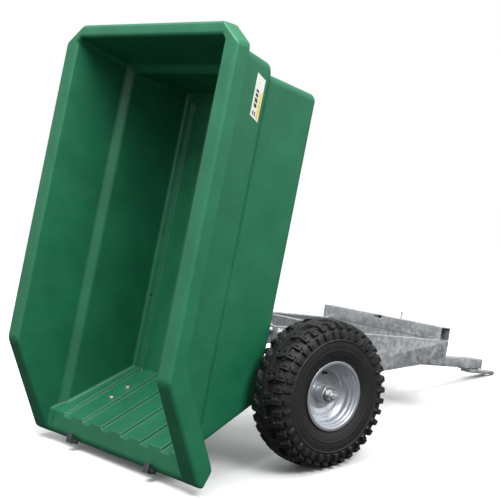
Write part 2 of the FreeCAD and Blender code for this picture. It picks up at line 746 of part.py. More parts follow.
def ramp_bolt_places():
    """Where the ramp bolts pass the strap's lower face."""
    low = GROOVE_DEPTH - STRAP_T
    return [ramp_point(w, low, side * BAR_V) for side in (LEFT, RIGHT) for w in RAMP_BOLT_HEIGHTS]


def ramp_bolt_holes():
    """Cutters for the ramp bolt holes."""
    back = ramp_normal() * 5.0
    holes = [Part.makeCylinder(RAMP_BOLT_R, 30.0, place - back, ramp_normal())
             for place in ramp_bolt_places()]
    return Part.makeCompound(holes)


def drain_holes():
    """One small drain hole on each side of the floor."""
    hole = Part.makeCylinder(DRAIN_R, 40.0, V(DRAIN_U, DRAIN_V, -10.0))
    return Part.makeCompound([hole, mirrored(hole)])


def make_tub():
    """Moulded tub: stepped walls, grooved floor and ramp, flat rim with a skirt."""
    block = tub_outside().fuse(groove_skins() + [make_rim_flange()])
    tub = block.cut(tub_cavity()).cut(Part.makeCompound(groove_hollows()))
    tub = tub.cut(ramp_bolt_holes()).cut(striker_bolt_holes()).cut(drain_holes())
    return tub.removeSplitter()


def make_label():
    """Thin sticker with slanted ends on the right upper wall near the front."""
    layers = []
    for out in (LABEL_GAP, LABEL_GAP + LABEL_T):
        corners = []
        for u, w in LABEL_CORNERS:
            corners.append(V(u, -upper_wall(w)[0] - out, w))
        layers.append(corners)
    return stacked_solid(layers)


# ---------------------------------------------------------------- tub supports

def make_bar():
    """Left support bar: square-cornered tube under a floor rib, cut to the ramp angle."""
    half = BAR_W / 2.0
    high = GROOVE_DEPTH
    low = high - BAR_H
    outline = [(BAR_FRONT_U, low), (ramp_u(low, high), low), (ramp_u(high, high), high), (BAR_FRONT_U, high)]
    outer = side_profile(outline, BAR_V - half, BAR_V + half)
    bore = box((ramp_u(high, high) - BAR_H, BAR_V - half + BAR_WALL, low + BAR_WALL),
               (BAR_FRONT_U + OVERCUT, BAR_V + half - BAR_WALL, high - BAR_WALL))
    return outer.cut(bore)


def make_strap():
    """Left flat strap up the ramp's underside, bent out under the lip and hooked back over its edge."""
    high = GROOVE_DEPTH
    low = high - STRAP_T
    bar_low = high - BAR_H
    lip_under = LIP_W - WALL
    foot_low = lip_under - STRAP_T
    hook_u = LIP_U - HOOK_GAP
    hook_low = HOOK_TOP_W - STRAP_T
    outline = [(ramp_u(bar_low, low), bar_low), (ramp_u(bar_low, high), bar_low),
               (ramp_u(lip_under, high), lip_under), (hook_u, lip_under), (hook_u, hook_low),
               (HOOK_END_U, hook_low), (HOOK_END_U, HOOK_TOP_W), (hook_u - STRAP_T, HOOK_TOP_W),
               (hook_u - STRAP_T, foot_low), (ramp_u(foot_low, low), foot_low)]
    half = BAR_W / 2.0
    return side_profile(outline, BAR_V - half, BAR_V + half)


def make_pivot_bracket():
    """Left plate on the bar's outer face that carries the pivot bush."""
    face_v = BAR_V + BAR_W / 2.0
    back_v = face_v + BRACKET_T
    eye = cylinder_y(BRACKET_EYE_R, PIVOT_U, PIVOT_W, face_v, back_v)
    rear_half = [(PIVOT_U - BRACKET_EYE_R, PIVOT_W), (PIVOT_U - BRACKET_HALF_L, BRACKET_SIDE_W),
                 (PIVOT_U - BRACKET_HALF_L, BRACKET_TOP_W)]
    front_half = [(2.0 * PIVOT_U - u, w) for u, w in reversed(rear_half)]
    gusset = side_profile(rear_half + front_half, face_v, back_v)
    hole = cylinder_y(PIVOT_BOLT_R + RUNNING_GAP, PIVOT_U, PIVOT_W, face_v - OVERCUT, back_v + OVERCUT)
    return eye.fuse(gusset).cut(hole).removeSplitter()


def make_pivot_bush():
    """Left bush between the bracket and the side member."""
    start = BAR_V + BAR_W / 2.0 + BRACKET_T
    end = MEMBER_OUTER_Y - MEMBER_T - PIVOT_WASHER_T - BUSH_END_GAP
    blank = ring(BUSH_R, PIVOT_BOLT_R + RUNNING_GAP, end - start)
    return along(blank, Y_AXIS, (PIVOT_U, start, PIVOT_W))


def ramp_fastener(build):
    """Group node: one piece at each ramp bolt, built along the ramp's normal."""
    pieces = [along(build, ramp_normal(), place) for place in ramp_bolt_places()]
    return Part.makeCompound(pieces)


def make_ramp_bolts():
    """Round-head bolts through the ramp and its straps."""
    grip = STRAP_T + WALL + RAMP_WASHER_T
    shank = Part.makeCylinder(RAMP_BOLT_R, grip + RAMP_BOLT_TAIL, V(0, 0, -RAMP_BOLT_TAIL))
    head = Part.makeCylinder(RAMP_HEAD_R, RAMP_HEAD_H, V(0, 0, grip))
    return ramp_fastener(head.fuse(shank).removeSplitter())


def make_ramp_washers():
    """Washers under the bolt heads."""
    washer = ring(RAMP_WASHER_R, RAMP_BOLT_R, RAMP_WASHER_T)
    washer.translate(V(0, 0, STRAP_T + WALL))
    return ramp_fastener(washer)


def make_ramp_nuts():
    """Nuts under the straps."""
    nut = hexagon(RAMP_NUT_FLATS, RAMP_NUT_H).cut(Part.makeCylinder(RAMP_BOLT_R, RAMP_NUT_H))
    nut.translate(V(0, 0, -RAMP_NUT_H))
    return ramp_fastener(nut)


# ---------------------------------------------------------------- build

def frame_nodes():
    """Pieces fixed to the frame."""
    nodes = {"axle_beam": make_axle_beam(), "crossbeam": make_crossbeam(),
             "front_cross_member": make_front_cross(), "mid_cross_member": make_mid_cross(),
             "drawbar": make_drawbar(), "hitch_plate": make_hitch_plate(),
             "hitch_spacer": make_hitch_spacer(),
             "pivot_bolts": both([pivot_bolt()]), "pivot_nuts": both([pivot_nut()]),
             "pivot_washers": both(pivot_washers()), "latch_guides": make_latch_guides(),
             "latch_bolt": make_latch_bolt(), "axle_washers": both([make_axle_washer()]),
             "axle_nuts": both([make_axle_nut()])}
    for name, side in SIDES:
        nodes["side_member_" + name] = for_side(make_side_member(), side)
        nodes["stub_axle_" + name] = for_side(make_stub_axle(), side)
    return {name: frame_to_row(shape) for name, shape in nodes.items()}


def tub_nodes():
    """Pieces that tip with the tub."""
    strap = make_strap()
    holes = ramp_bolt_holes()
    nodes = {"tub": make_tub(), "label": make_label(), "striker": make_striker(),
             "striker_bolts": make_striker_bolts(), "pivot_bushes": both([make_pivot_bush()]),
             "ramp_bolts": make_ramp_bolts(), "ramp_washers": make_ramp_washers(),
             "ramp_nuts": make_ramp_nuts()}
    for name, side in SIDES:
        nodes["support_bar_" + name] = for_side(make_bar(), side)
        nodes["ramp_strap_" + name] = for_side(strap, side).cut(holes)
        nodes["pivot_bracket_" + name] = for_side(make_pivot_bracket(), side)
    return {name: tub_to_row(shape) for name, shape in nodes.items()}


def wheel_nodes():
    """Pieces that turn with each wheel."""
    nodes = {}
    makers = {"tyre": make_tyre(), "rim": make_rim(), "hub": make_hub(),
              "bearings": make_bearings(), "valve": make_valve()}
    for name, side in SIDES:
        for piece, shape in makers.items():
            nodes[piece + "_" + name] = wheel_to_row(for_side(shape, side))
    return nodes


def centre_shift(shapes):
    """Move along X that puts the middle of the whole trailer over the origin."""
    low = min(shape.BoundBox.XMin for shape in shapes)
    high = max(shape.BoundBox.XMax for shape in shapes)
    return -(low + high) / 2.0


def row_point(point, shift):
    """Frame point in row coordinates, in metres."""
    vertex = frame_to_row(Part.Vertex(V(*point))).Point
    return [round((vertex.x + shift) / 1000.0, 6), round(vertex.y / 1000.0, 6),
            round(vertex.z / 1000.0, 6)]


def main():
    """Build every node, centre the trailer and write one STEP file per node."""
    nodes = {}
    nodes.update(frame_nodes())
    nodes.update(tub_nodes())
    nodes.update(wheel_nodes())
    shift = centre_shift(nodes.values())
    os.makedirs("parts", exist_ok=True)
    for name, shape in nodes.items():
        shape.translate(V(shift, 0, 0))
        shape.exportStep("parts/" + name + ".step")
        low = shape.BoundBox
        print(name, "solids", len(shape.Solids), "valid", shape.isValid(),
              "x %.1f %.1f z %.1f %.1f" % (low.XMin, low.XMax, low.ZMin, low.ZMax))
    print("pitch_deg", round(PITCH_DEG, 4), "shift", round(shift, 3))
    print("axle", row_point((0, 0, 0), shift))
    print("pivot", row_point((PIVOT_X, 0, PIVOT_Z), shift))
    print("hitch eye", row_point((HITCH_EYE_X, 0, HITCH_TOP_Z - HITCH_T / 2.0), shift))


main()
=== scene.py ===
import json
import math

import bmesh
import bpy
import numpy as np
from mathutils import Matrix, Vector


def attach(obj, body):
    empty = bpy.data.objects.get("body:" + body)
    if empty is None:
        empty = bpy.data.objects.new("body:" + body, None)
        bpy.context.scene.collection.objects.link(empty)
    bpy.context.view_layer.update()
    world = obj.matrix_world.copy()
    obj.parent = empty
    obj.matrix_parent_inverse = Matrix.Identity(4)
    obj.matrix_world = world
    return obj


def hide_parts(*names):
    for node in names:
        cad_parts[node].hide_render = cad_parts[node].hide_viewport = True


# Looks of the tipping garden trailer. Lengths are metres. Shapes are built in two frames and
# then put in the row: the tub's (u forward, v left, w up, origin at the foot of the ramp, tub
# lowered) and the frame's (x forward, y left, z up, origin at the middle of the axle, level).

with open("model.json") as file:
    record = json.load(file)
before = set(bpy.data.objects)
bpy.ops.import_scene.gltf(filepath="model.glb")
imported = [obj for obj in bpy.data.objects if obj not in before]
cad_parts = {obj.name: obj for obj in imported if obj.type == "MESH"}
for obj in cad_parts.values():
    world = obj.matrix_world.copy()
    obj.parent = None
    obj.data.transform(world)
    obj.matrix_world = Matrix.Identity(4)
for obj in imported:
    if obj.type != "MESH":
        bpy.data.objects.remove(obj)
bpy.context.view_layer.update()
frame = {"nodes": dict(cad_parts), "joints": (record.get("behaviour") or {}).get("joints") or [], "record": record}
RECORD = frame["record"]


def joint(name):
    """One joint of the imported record."""
    return next(j for j in frame["joints"] if j["name"] == name)


HITCH = next(m for m in RECORD["mounts"] if m["name"] == "hitch_eye")
PITCH = math.atan2(HITCH["axis"][0], HITCH["axis"][2])
PIVOT = Vector(joint("tub_tip")["pos_m"])
TIP = math.radians(joint("tub_tip")["range_deg"][1])
WHEEL = Vector(joint("wheel_left_spin")["pos_m"])
AXLE = Vector((WHEEL.x, 0.0, WHEEL.z))
SIDES = (("left", 1), ("right", -1))

# tub pivot, in the tub's frame
PIVOT_U = 0.243
PIVOT_W = -0.0705

# tub wall, floor and ramp; insets are measured square to the outer face
WALL = 0.006
RAMP = math.radians(55.0)
RAMP_FOOT_U = -0.012
TOP_INSET = 0.016
GROOVE_INSET = 0.006
GROOVE_HALF = 0.027
GROOVE_FOOT_HALF = 0.021
GROOVE_CENTRES = (-0.30, -0.18, -0.06, 0.06, 0.18, 0.30)
GROOVE_FRONT_U = 1.018
GROOVE_END_RUN = 0.006

# lip at the top of the ramp
LIP_U = -0.287
LIP_W = 0.303
LIP_EDGE = 0.032

# rim, which bends down to the lip at the kink, and the skirt that hangs from it
KINK_U = 0.024
RIM_W = 0.498
SKIRT = 0.053
SKIRT_KINK_U = 0.090
SKIRT_HALF = 0.504
SKIRT_FRONT_U = 1.188
CORNER_U = 0.067
CORNER_V = 0.093

# lower corner of the skirt's rear end as (u, w), the points that round it, and the cut at its tip
SKIRT_CORNER = (-0.226, 0.2615)
SKIRT_CORNER_REAR = (-0.238, 0.2645)
SKIRT_CORNER_FRONT = (-0.212, 0.2675)
SKIRT_END_W = 0.287
SKIRT_END_CUT = (0.008, 0.006)

# slots where the straps pass the lip, and the drain holes
STRAP_V = 0.240
STRAP_W = 0.030
STRAP_TOP_W = 0.297
STRAP_GAP = 0.002
SLOT_CLEARANCE = 0.0003
SLOT_SIZE = 0.040
DRAIN_U = 0.270
DRAIN_V = 0.345
DRAIN_R = 0.007
DRAIN_ROD = 0.06

TUB_TO_ROW = (Matrix.Translation(PIVOT) @ Matrix.Rotation(PITCH - TIP, 4, "Y")
              @ Matrix.Translation((-PIVOT_U, 0.0, -PIVOT_W)))
FRAME_TO_ROW = Matrix.Translation(AXLE) @ Matrix.Rotation(PITCH, 4, "Y")


# ---------------------------------------------------------------- node helpers

def new_material(name, **settings):
    """An empty material and its principled shader, with settings such as Coat_Weight."""
    material = bpy.data.materials.new(name)
    material.use_nodes = True
    shader = material.node_tree.nodes["Principled BSDF"]
    for key, value in settings.items():
        shader.inputs[key.replace("_", " ")].default_value = value
    return material, shader


def node(material, kind, inputs=(), **settings):
    """A shader node with its settings, and its inputs set or linked."""
    made = material.node_tree.nodes.new(kind)
    for key, value in settings.items():
        setattr(made, key, value)
    for key, value in dict(inputs).items():
        if isinstance(value, bpy.types.NodeSocket):
            material.node_tree.links.new(value, made.inputs[key])
        else:
            made.inputs[key].default_value = value
    return made


def place(material, stretch=(1.0, 1.0, 1.0)):
    """The piece's own coordinates at rest, stretched."""
    source = node(material, "ShaderNodeTexCoord").outputs["Object"]
    return node(material, "ShaderNodeMapping", {"Vector": source, "Scale": stretch}).outputs["Vector"]


def noise(material, scale, detail=3.0, roughness=0.5, stretch=(1.0, 1.0, 1.0)):
    """Noise from 0 to 1."""
    return node(material, "ShaderNodeTexNoise",
                {"Vector": place(material, stretch), "Scale": scale, "Detail": detail,
                 "Roughness": roughness}).outputs["Fac"]


def spread(material, value, low, high, new_low=0.0, new_high=1.0):
    """A value's range mapped to another."""
    return node(material, "ShaderNodeMapRange",
                {"Value": value, "From Min": low, "From Max": high,
                 "To Min": new_low, "To Max": new_high}).outputs["Result"]


def clouds(material, scale, detail, roughness, low, high, new_low=0.0, new_high=1.0):
    """Noise with its range mapped to another."""
    return spread(material, noise(material, scale, detail, roughness), low, high, new_low, new_high)


def blend(material, share, first, second):
    """Mix of two colours."""
    return node(material, "ShaderNodeMix", {0: share, 6: first, 7: second}, data_type="RGBA").outputs[2]


def arithmetic(material, operation, first, second):
    """Sum, product and the like of two values."""
    return node(material, "ShaderNodeMath", {0: first, 1: second}, operation=operation).outputs[0]


def bump(material, height, distance, strength=1.0, under=None):
    """Bump from a height, on top of another bump."""
    inputs = {"Height": height, "Distance": distance, "Strength": strength}
    if under is not None:
        inputs["Normal"] = under
    return node(material, "ShaderNodeBump", inputs).outputs["Normal"]


def edge_wear(material, low, high):
    """Share that is 1 on the sharpest outside edges."""
    pointed = node(material, "ShaderNodeNewGeometry").outputs["Pointiness"]
    return spread(material, pointed, low, high)


def finish_material(material, shader, colour, roughness, normal):
    """Links what varies over the surface."""
    links = material.node_tree.links
    links.new(colour, shader.inputs["Base Color"])
    links.new(roughness, shader.inputs["Roughness"])
    links.new(normal, shader.inputs["Normal"])
    return material


# ---------------------------------------------------------------- materials

def make_green_plastic():
    """Rotomoulded polyethylene: satin, faintly mottled, with orange peel and rubbed patches."""
    material, shader = new_material("green_polyethylene", IOR=1.5)
    mottle = noise(material, 7.0, 4.0, 0.6)
    base = blend(material, spread(material, mottle, 0.35, 0.7),
                 (0.0080, 0.122, 0.055, 1), (0.0120, 0.156, 0.073, 1))
    fleck = clouds(material, 420.0, 2.0, 0.5, 0.62, 0.72, 0.0, 0.35)
    base = blend(material, fleck, base, (0.018, 0.19, 0.105, 1))
    rubbed = arithmetic(material, "MULTIPLY", clouds(material, 5.0, 5.0, 0.7, 0.55, 0.75),
                        spread(material, noise(material, 60.0, 6.0, 0.7, (1, 9, 1)), 0.5, 0.75, 0.0, 0.5))
    base = blend(material, rubbed, base, (0.05, 0.25, 0.16, 1))
    rough = clouds(material, 18.0, 4.0, 0.65, 0.3, 0.7, 0.36, 0.5)
    rough = arithmetic(material, "ADD", rough, arithmetic(material, "MULTIPLY", rubbed, 0.15))
    normal = bump(material, noise(material, 9.0, 2.0), 0.002, 0.25)
    normal = bump(material, noise(material, 650.0, 2.0), 0.0003, 0.35, normal)
    return finish_material(material, shader, base, rough, normal)


def make_galvanised(name, unshaded_share):
    """Hot-dip zinc: crystals of slightly different grey, dull white bloom and run marks.
    The second argument sets how much black is mixed in as painted shade: 1 keeps the zinc's own colour, 0 is
    black."""
    material, shader = new_material(name, Metallic=0.82)
    cells = node(material, "ShaderNodeTexVoronoi", {"Vector": place(material), "Scale": 75.0})
    crystal = node(material, "ShaderNodeSeparateColor", {"Color": cells.outputs["Color"]}).outputs[0]
    base = blend(material, crystal, (0.46, 0.485, 0.505, 1), (0.64, 0.665, 0.685, 1))
    bloom = clouds(material, 14.0, 6.0, 0.65, 0.45, 0.7)
    base = blend(material, arithmetic(material, "MULTIPLY", bloom, 0.55), base, (0.72, 0.725, 0.72, 1))
    runs = spread(material, noise(material, 38.0, 4.0, 0.6, (1, 1, 0.12)), 0.5, 0.72, 0.0, 0.5)
    base = blend(material, runs, base, (0.45, 0.455, 0.45, 1))
    # painted shade: black mixed in to make darker copies of this zinc
    base = blend(material, 1.0 - unshaded_share, base, (0.0, 0.0, 0.0, 1))
    rough = arithmetic(material, "ADD", spread(material, crystal, 0.0, 1.0, 0.32, 0.5),
                       arithmetic(material, "MULTIPLY", bloom, 0.18))
    normal = bump(material, crystal, 0.0004, 0.35)
    normal = bump(material, noise(material, 240.0, 3.0), 0.0003, 0.3, normal)
    return finish_material(material, shader, base, rough, normal)


def make_zinc():
    """Bright zinc plate on fasteners: faint rainbow-grey clouds and fine turning marks."""
    material, shader = new_material("bright_zinc", Metallic=1.0)
    cloud = clouds(material, 90.0, 4.0, 0.6, 0.35, 0.7)
    base = blend(material, cloud, (0.62, 0.62, 0.58, 1), (0.74, 0.75, 0.78, 1))
    rough = clouds(material, 300.0, 3.0, 0.5, 0.3, 0.7, 0.22, 0.42)
    normal = bump(material, noise(material, 700.0, 3.0, 0.6), 0.0002, 0.35)
    return finish_material(material, shader, base, rough, normal)


def make_silver_paint():
    """Silver wheel paint: metal flake, a thin clear coat and patches of dust."""
    material, shader = new_material("silver_paint", Metallic=0.75, Coat_Weight=0.25)
    flake = node(material, "ShaderNodeTexVoronoi", {"Vector": place(material), "Scale": 1500.0})
    sparkle = node(material, "ShaderNodeSeparateColor", {"Color": flake.outputs["Color"]}).outputs[0]
    base = blend(material, sparkle, (0.40, 0.425, 0.455, 1), (0.55, 0.575, 0.61, 1))
    dust = clouds(material, 26.0, 6.0, 0.7, 0.5, 0.8, 0.0, 0.5)
    base = blend(material, dust, base, (0.33, 0.33, 0.33, 1))
    chip = edge_wear(material, 0.56, 0.62)
    base = blend(material, arithmetic(material, "MULTIPLY", chip, 0.4), base, (0.7, 0.7, 0.7, 1))
    rough = clouds(material, 40.0, 4.0, 0.5, 0.3, 0.7, 0.3, 0.46)
    rough = arithmetic(material, "ADD", rough, arithmetic(material, "MULTIPLY", dust, 0.25))
    normal = bump(material, noise(material, 500.0, 2.0), 0.0002, 0.3)
    return finish_material(material, shader, base, rough, normal)


def make_tyre_rubber():
    """Black rubber: fine pimples, greyed lug edges and a little dust."""
    material, shader = new_material("tyre_rubber", IOR=1.52)
    cloud = clouds(material, 16.0, 5.0, 0.65, 0.35, 0.7)
    base = blend(material, cloud, (0.0032, 0.0032, 0.0036, 1), (0.0075, 0.0073, 0.0077, 1))
    worn = edge_wear(material, 0.51, 0.6)
    base = blend(material, arithmetic(material, "MULTIPLY", worn, 0.5), base, (0.019, 0.019, 0.021, 1))
    dust = clouds(material, 55.0, 6.0, 0.75, 0.55, 0.85, 0.0, 0.4)
    base = blend(material, dust, base, (0.022, 0.0205, 0.019, 1))
    rough = clouds(material, 75.0, 4.0, 0.6, 0.3, 0.7, 0.5, 0.72)
    normal = bump(material, noise(material, 950.0, 3.0, 0.6), 0.0003, 0.5)
    normal = bump(material, noise(material, 45.0, 4.0), 0.001, 0.3, normal)
    return finish_material(material, shader, base, rough, normal)


def make_plain_rubber():
    """Moulded rubber of the valve, with a soft bloom."""
    material, shader = new_material("valve_rubber")
    cloud = clouds(material, 120.0, 4.0, 0.5, 0.3, 0.7)
    base = blend(material, cloud, (0.010, 0.010, 0.011, 1), (0.028, 0.028, 0.029, 1))
    rough = spread(material, cloud, 0.0, 1.0, 0.5, 0.7)
    return finish_material(material, shader, base, rough, bump(material, noise(material, 900.0), 0.0002, 0.4))


def make_bearing_steel():
    """Ground steel with a dark greasy film."""
    material, shader = new_material("bearing_steel", Metallic=1.0)
    film = clouds(material, 60.0, 5.0, 0.7, 0.45, 0.7)
    base = blend(material, film, (0.55, 0.55, 0.56, 1), (0.16, 0.14, 0.12, 1))
    rough = spread(material, film, 0.0, 1.0, 0.2, 0.45)
    return finish_material(material, shader, base, rough, bump(material, noise(material, 400.0), 0.0001, 0.4))


def make_weld_metal():
    """Zinc-coated weld: lighter and darker clouds."""
    material, shader = new_material("weld_metal", Metallic=0.85)
    cloud = clouds(material, 200.0, 4.0, 0.7, 0.3, 0.7)
    base = blend(material, cloud, (0.34, 0.35, 0.36, 1), (0.6, 0.61, 0.62, 1))
    rough = clouds(material, 90.0, 4.0, 0.5, 0.3, 0.7, 0.35, 0.6)
    return finish_material(material, shader, base, rough, bump(material, noise(material, 500.0), 0.0003, 0.5))


def make_print(name, dark, light, roughness):
    """Printed film of one ink: faint unevenness, tiny scratches and dirt."""
    material, shader = new_material(name, Coat_Weight=0.4)
    cloud = clouds(material, 130.0, 4.0, 0.6, 0.35, 0.65)
    base = blend(material, cloud, dark, light)
    scratch = spread(material, noise(material, 900.0, 2.0, 0.5, (0.05, 1, 1)), 0.66, 0.74, 0.0, 0.35)
    base = blend(material, scratch, base, (0.5, 0.5, 0.48, 1))
    rough = spread(material, cloud, 0.0, 1.0, roughness, roughness + 0.12)
    rough = arithmetic(material, "ADD", rough, scratch)
    return finish_material(material, shader, base, rough, bump(material, noise(material, 300.0), 0.0001, 0.3))


# distances from the middle at which the floor starts and ends its fade
FLOOR_FADE = (2.2, 5.0)


def make_floor_material():
    """Pale studio floor that fades into the white surroundings."""
    material, shader = new_material("studio_floor")
    cloud = noise(material, 1.5, 3.0)
    base = blend(material, cloud, (0.86, 0.86, 0.86, 1), (0.9, 0.9, 0.9, 1))
    rough = spread(material, cloud, 0.0, 1.0, 0.7, 0.85)
    away = node(material, "ShaderNodeVectorMath", {0: place(material)}, operation="LENGTH").outputs["Value"]
    solid = spread(material, away, FLOOR_FADE[0], FLOOR_FADE[1], 1.0, 0.0)
    material.node_tree.links.new(solid, shader.inputs["Alpha"])
    return finish_material(material, shader, base, rough, bump(material, noise(material, 80.0), 0.0002, 0.2))


GREEN = make_green_plastic()
GALVANISED = make_galvanised("galvanised_steel", 1.0)
# darker copy of the galvanised zinc: painted shade, used for the ramp straps
PAINTED_SHADE_STEEL = make_galvanised("painted_shade_steel", 0.22)
ZINC = make_zinc()
SILVER = make_silver_paint()
TYRE_RUBBER = make_tyre_rubber()
VALVE_RUBBER = make_plain_rubber()
BEARING_STEEL = make_bearing_steel()
WELD_METAL = make_weld_metal()
PAPER_WHITE = make_print("print_white", (0.62, 0.62, 0.58, 1), (0.75, 0.75, 0.72, 1), 0.25)
PRINT_YELLOW = make_print("print_yellow", (0.62, 0.50, 0.06, 1), (0.74, 0.60, 0.09, 1), 0.25)
PRINT_DARK = make_print("print_dark", (0.012, 0.012, 0.012, 1), (0.03, 0.03, 0.032, 1), 0.3)


# ---------------------------------------------------------------- mesh helpers

MERGE_DISTANCE = 1e-5
LARGEST_REACH = 0.45


def shade(mesh, angle_deg):
    """Smooth shading that keeps edges sharper than an angle."""
    mesh.polygons.foreach_set("use_smooth", [True] * len(mesh.polygons))
    mesh.set_sharp_from_angle(angle=math.radians(angle_deg))


def add_object(name, mesh, body, materials, stands_for=()):
    """Links a mesh that is already in the row, with its materials, body and CAD nodes."""
    made = bpy.data.objects.new(name, mesh)
    bpy.context.scene.collection.objects.link(made)
    for material in materials:
        mesh.materials.append(material)
    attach(made, body)
    if stands_for:
        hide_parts(*stands_for)
    return made


def finished_mesh(work, name):
    """The mesh of a bmesh, which is freed."""
    mesh = bpy.data.meshes.new(name)
    work.to_mesh(mesh)
    work.free()
    return mesh


def rounded(points, radius, steps=4):
    """Closed outline with its corners rounded off."""
    result = []
    corners = [Vector(p) for p in points]
    for index, corner in enumerate(corners):
        before = corners[index - 1] - corner
        after = corners[(index + 1) % len(corners)] - corner
        reach = min(radius, before.length * LARGEST_REACH, after.length * LARGEST_REACH)
        start = corner + before.normalized() * reach
        end = corner + after.normalized() * reach
        for step in range(steps + 1):
            share = step / steps
            first = start.lerp(corner, share)
            second = corner.lerp(end, share)
            result.append(first.lerp(second, share))
    return result


def revolved_mesh(name, rows, columns, centre, side, lift=None):
    """Closed ring: rows list (distance outwards from the wheel's centre, radius) around the section.
    lift(angles) gives, for each row and angle, how far the surface stands out along its normal."""
    rows = np.array([tuple(point) for point in rows])
    ahead = np.roll(rows, -1, axis=0) - np.roll(rows, 1, axis=0)
    ahead /= np.linalg.norm(ahead, axis=1)[:, None]
    normals = np.stack([-ahead[:, 1], ahead[:, 0]], axis=1)
    angles = np.linspace(0.0, 2.0 * math.pi, columns, endpoint=False)
    out = np.zeros((len(rows), columns)) if lift is None else lift(angles)
    outward = rows[:, 0][:, None] + normals[:, 0][:, None] * out
    radius = rows[:, 1][:, None] + normals[:, 1][:, None] * out
    coords = np.stack([centre.x + radius * np.cos(angles)[None, :],
                       side * (centre.y + outward),
                       centre.z + radius * np.sin(angles)[None, :]], axis=-1)
    count = len(rows)
    index = np.arange(count * columns).reshape(count, columns)
    right = np.roll(index, -1, axis=1)
    up = np.roll(index, -1, axis=0)
    quads = np.stack([index, right, np.roll(up, -1, axis=1), up], axis=-1).reshape(-1, 4)
    if side < 0:
        quads = quads[:, ::-1]
    mesh = bpy.data.meshes.new(name)
    mesh.from_pydata(coords.reshape(-1, 3).tolist(), [], quads.tolist())
    fix_normals(mesh)
    return mesh


def fix_normals(mesh):
    """Turns the faces of a closed mesh outwards."""
    work = bmesh.new()
    work.from_mesh(mesh)
    bmesh.ops.recalc_face_normals(work, faces=work.faces)
    work.to_mesh(mesh)
    work.free()


def smooth_step(value):
    """0 below 0, 1 above 1, smooth in between."""
    value = np.clip(value, 0.0, 1.0)
    return value * value * (3.0 - 2.0 * value)


# ---------------------------------------------------------------- tub

# height, inner half width and inner front position: floor, foot and top of the ledge, rim
WALL_LEVELS = ((0.0, 0.360, 1.054), (0.256, 0.391, 1.069), (0.278, 0.414, 1.099), (RIM_W, 0.433, 1.141))
LEDGE_FOOT_W = WALL_LEVELS[1][0]
LEDGE_TOP_W = WALL_LEVELS[2][0]
WALL_CORNER = 0.014


def wall_at(w):
    """Inner half width and inner front position at a height."""
    low, high = next((a, b) for a, b in zip(WALL_LEVELS, WALL_LEVELS[1:]) if w <= b[0])
    share = (w - low[0]) / (high[0] - low[0])
    return low[1] + (high[1] - low[1]) * share, low[2] + (high[2] - low[2]) * share


def ramp_u(w, inset):
    """Forward position on the ramp, or on a plane parallel to it."""
    return RAMP_FOOT_U + (inset - math.cos(RAMP) * w) / math.sin(RAMP)


class Sheet:
    """Faces of the tub's inner and upper surface, each in a group that sets how its edges round."""

    def __init__(self):
        self.work = bmesh.new()
        self.group = self.work.faces.layers.int.new("group")
        self.names = {}

    def face(self, group, points):
        corners = [self.work.verts.new(p) for p in points]
        made = self.work.faces.new(corners)
        made[self.group] = self.names.setdefault(group, len(self.names) + 1)

    def mirrored(self, group, points):
        self.face(group, points)
        self.face(group, [(u, -v, w) for u, v, w in reversed(points)])


def add_grooves(sheet):
    """Six channels that run along the floor and up the ramp to the lip."""
    foot_u = ramp_u(TOP_INSET, TOP_INSET)
    low_foot_u = ramp_u(GROOVE_INSET, GROOVE_INSET)
    end_u = ramp_u(LIP_W, TOP_INSET)
    low_end_u = ramp_u(LIP_W, GROOVE_INSET)
    top = [(GROOVE_FRONT_U, TOP_INSET), (foot_u, TOP_INSET), (end_u, LIP_W)]
    low = [(GROOVE_FRONT_U - GROOVE_END_RUN, GROOVE_INSET), (low_foot_u, GROOVE_INSET), (low_end_u, LIP_W)]
    for centre in GROOVE_CENTRES:
        for part in (0, 1):
            (u0, w0), (u1, w1) = low[part], low[part + 1]
            sheet.face("groove", [(u0, centre - GROOVE_FOOT_HALF, w0), (u0, centre + GROOVE_FOOT_HALF, w0),
                                  (u1, centre + GROOVE_FOOT_HALF, w1), (u1, centre - GROOVE_FOOT_HALF, w1)])
            for side in (-1, 1):
                edge_v = centre + side * GROOVE_HALF
                foot_v = centre + side * GROOVE_FOOT_HALF
                quad = [(*top[part], edge_v), (*top[part + 1], edge_v),
                        (*low[part + 1], foot_v), (*low[part], foot_v)]
                sheet.face("groove", [(u, v, w) for u, w, v in quad])
        sheet.face("groove", [(GROOVE_FRONT_U, centre - GROOVE_HALF, TOP_INSET),
                              (GROOVE_FRONT_U, centre + GROOVE_HALF, TOP_INSET),
                              (low[0][0], centre + GROOVE_FOOT_HALF, GROOVE_INSET),
                              (low[0][0], centre - GROOVE_FOOT_HALF, GROOVE_INSET)])
    for left, right in zip(GROOVE_CENTRES, GROOVE_CENTRES[1:]):
        for part in (0, 1):
            (u0, w0), (u1, w1) = top[part], top[part + 1]
            sheet.face("ramp" if part else "floor",
                       [(u0, left + GROOVE_HALF, w0), (u0, right - GROOVE_HALF, w0),
                        (u1, right - GROOVE_HALF, w1), (u1, left + GROOVE_HALF, w1)])


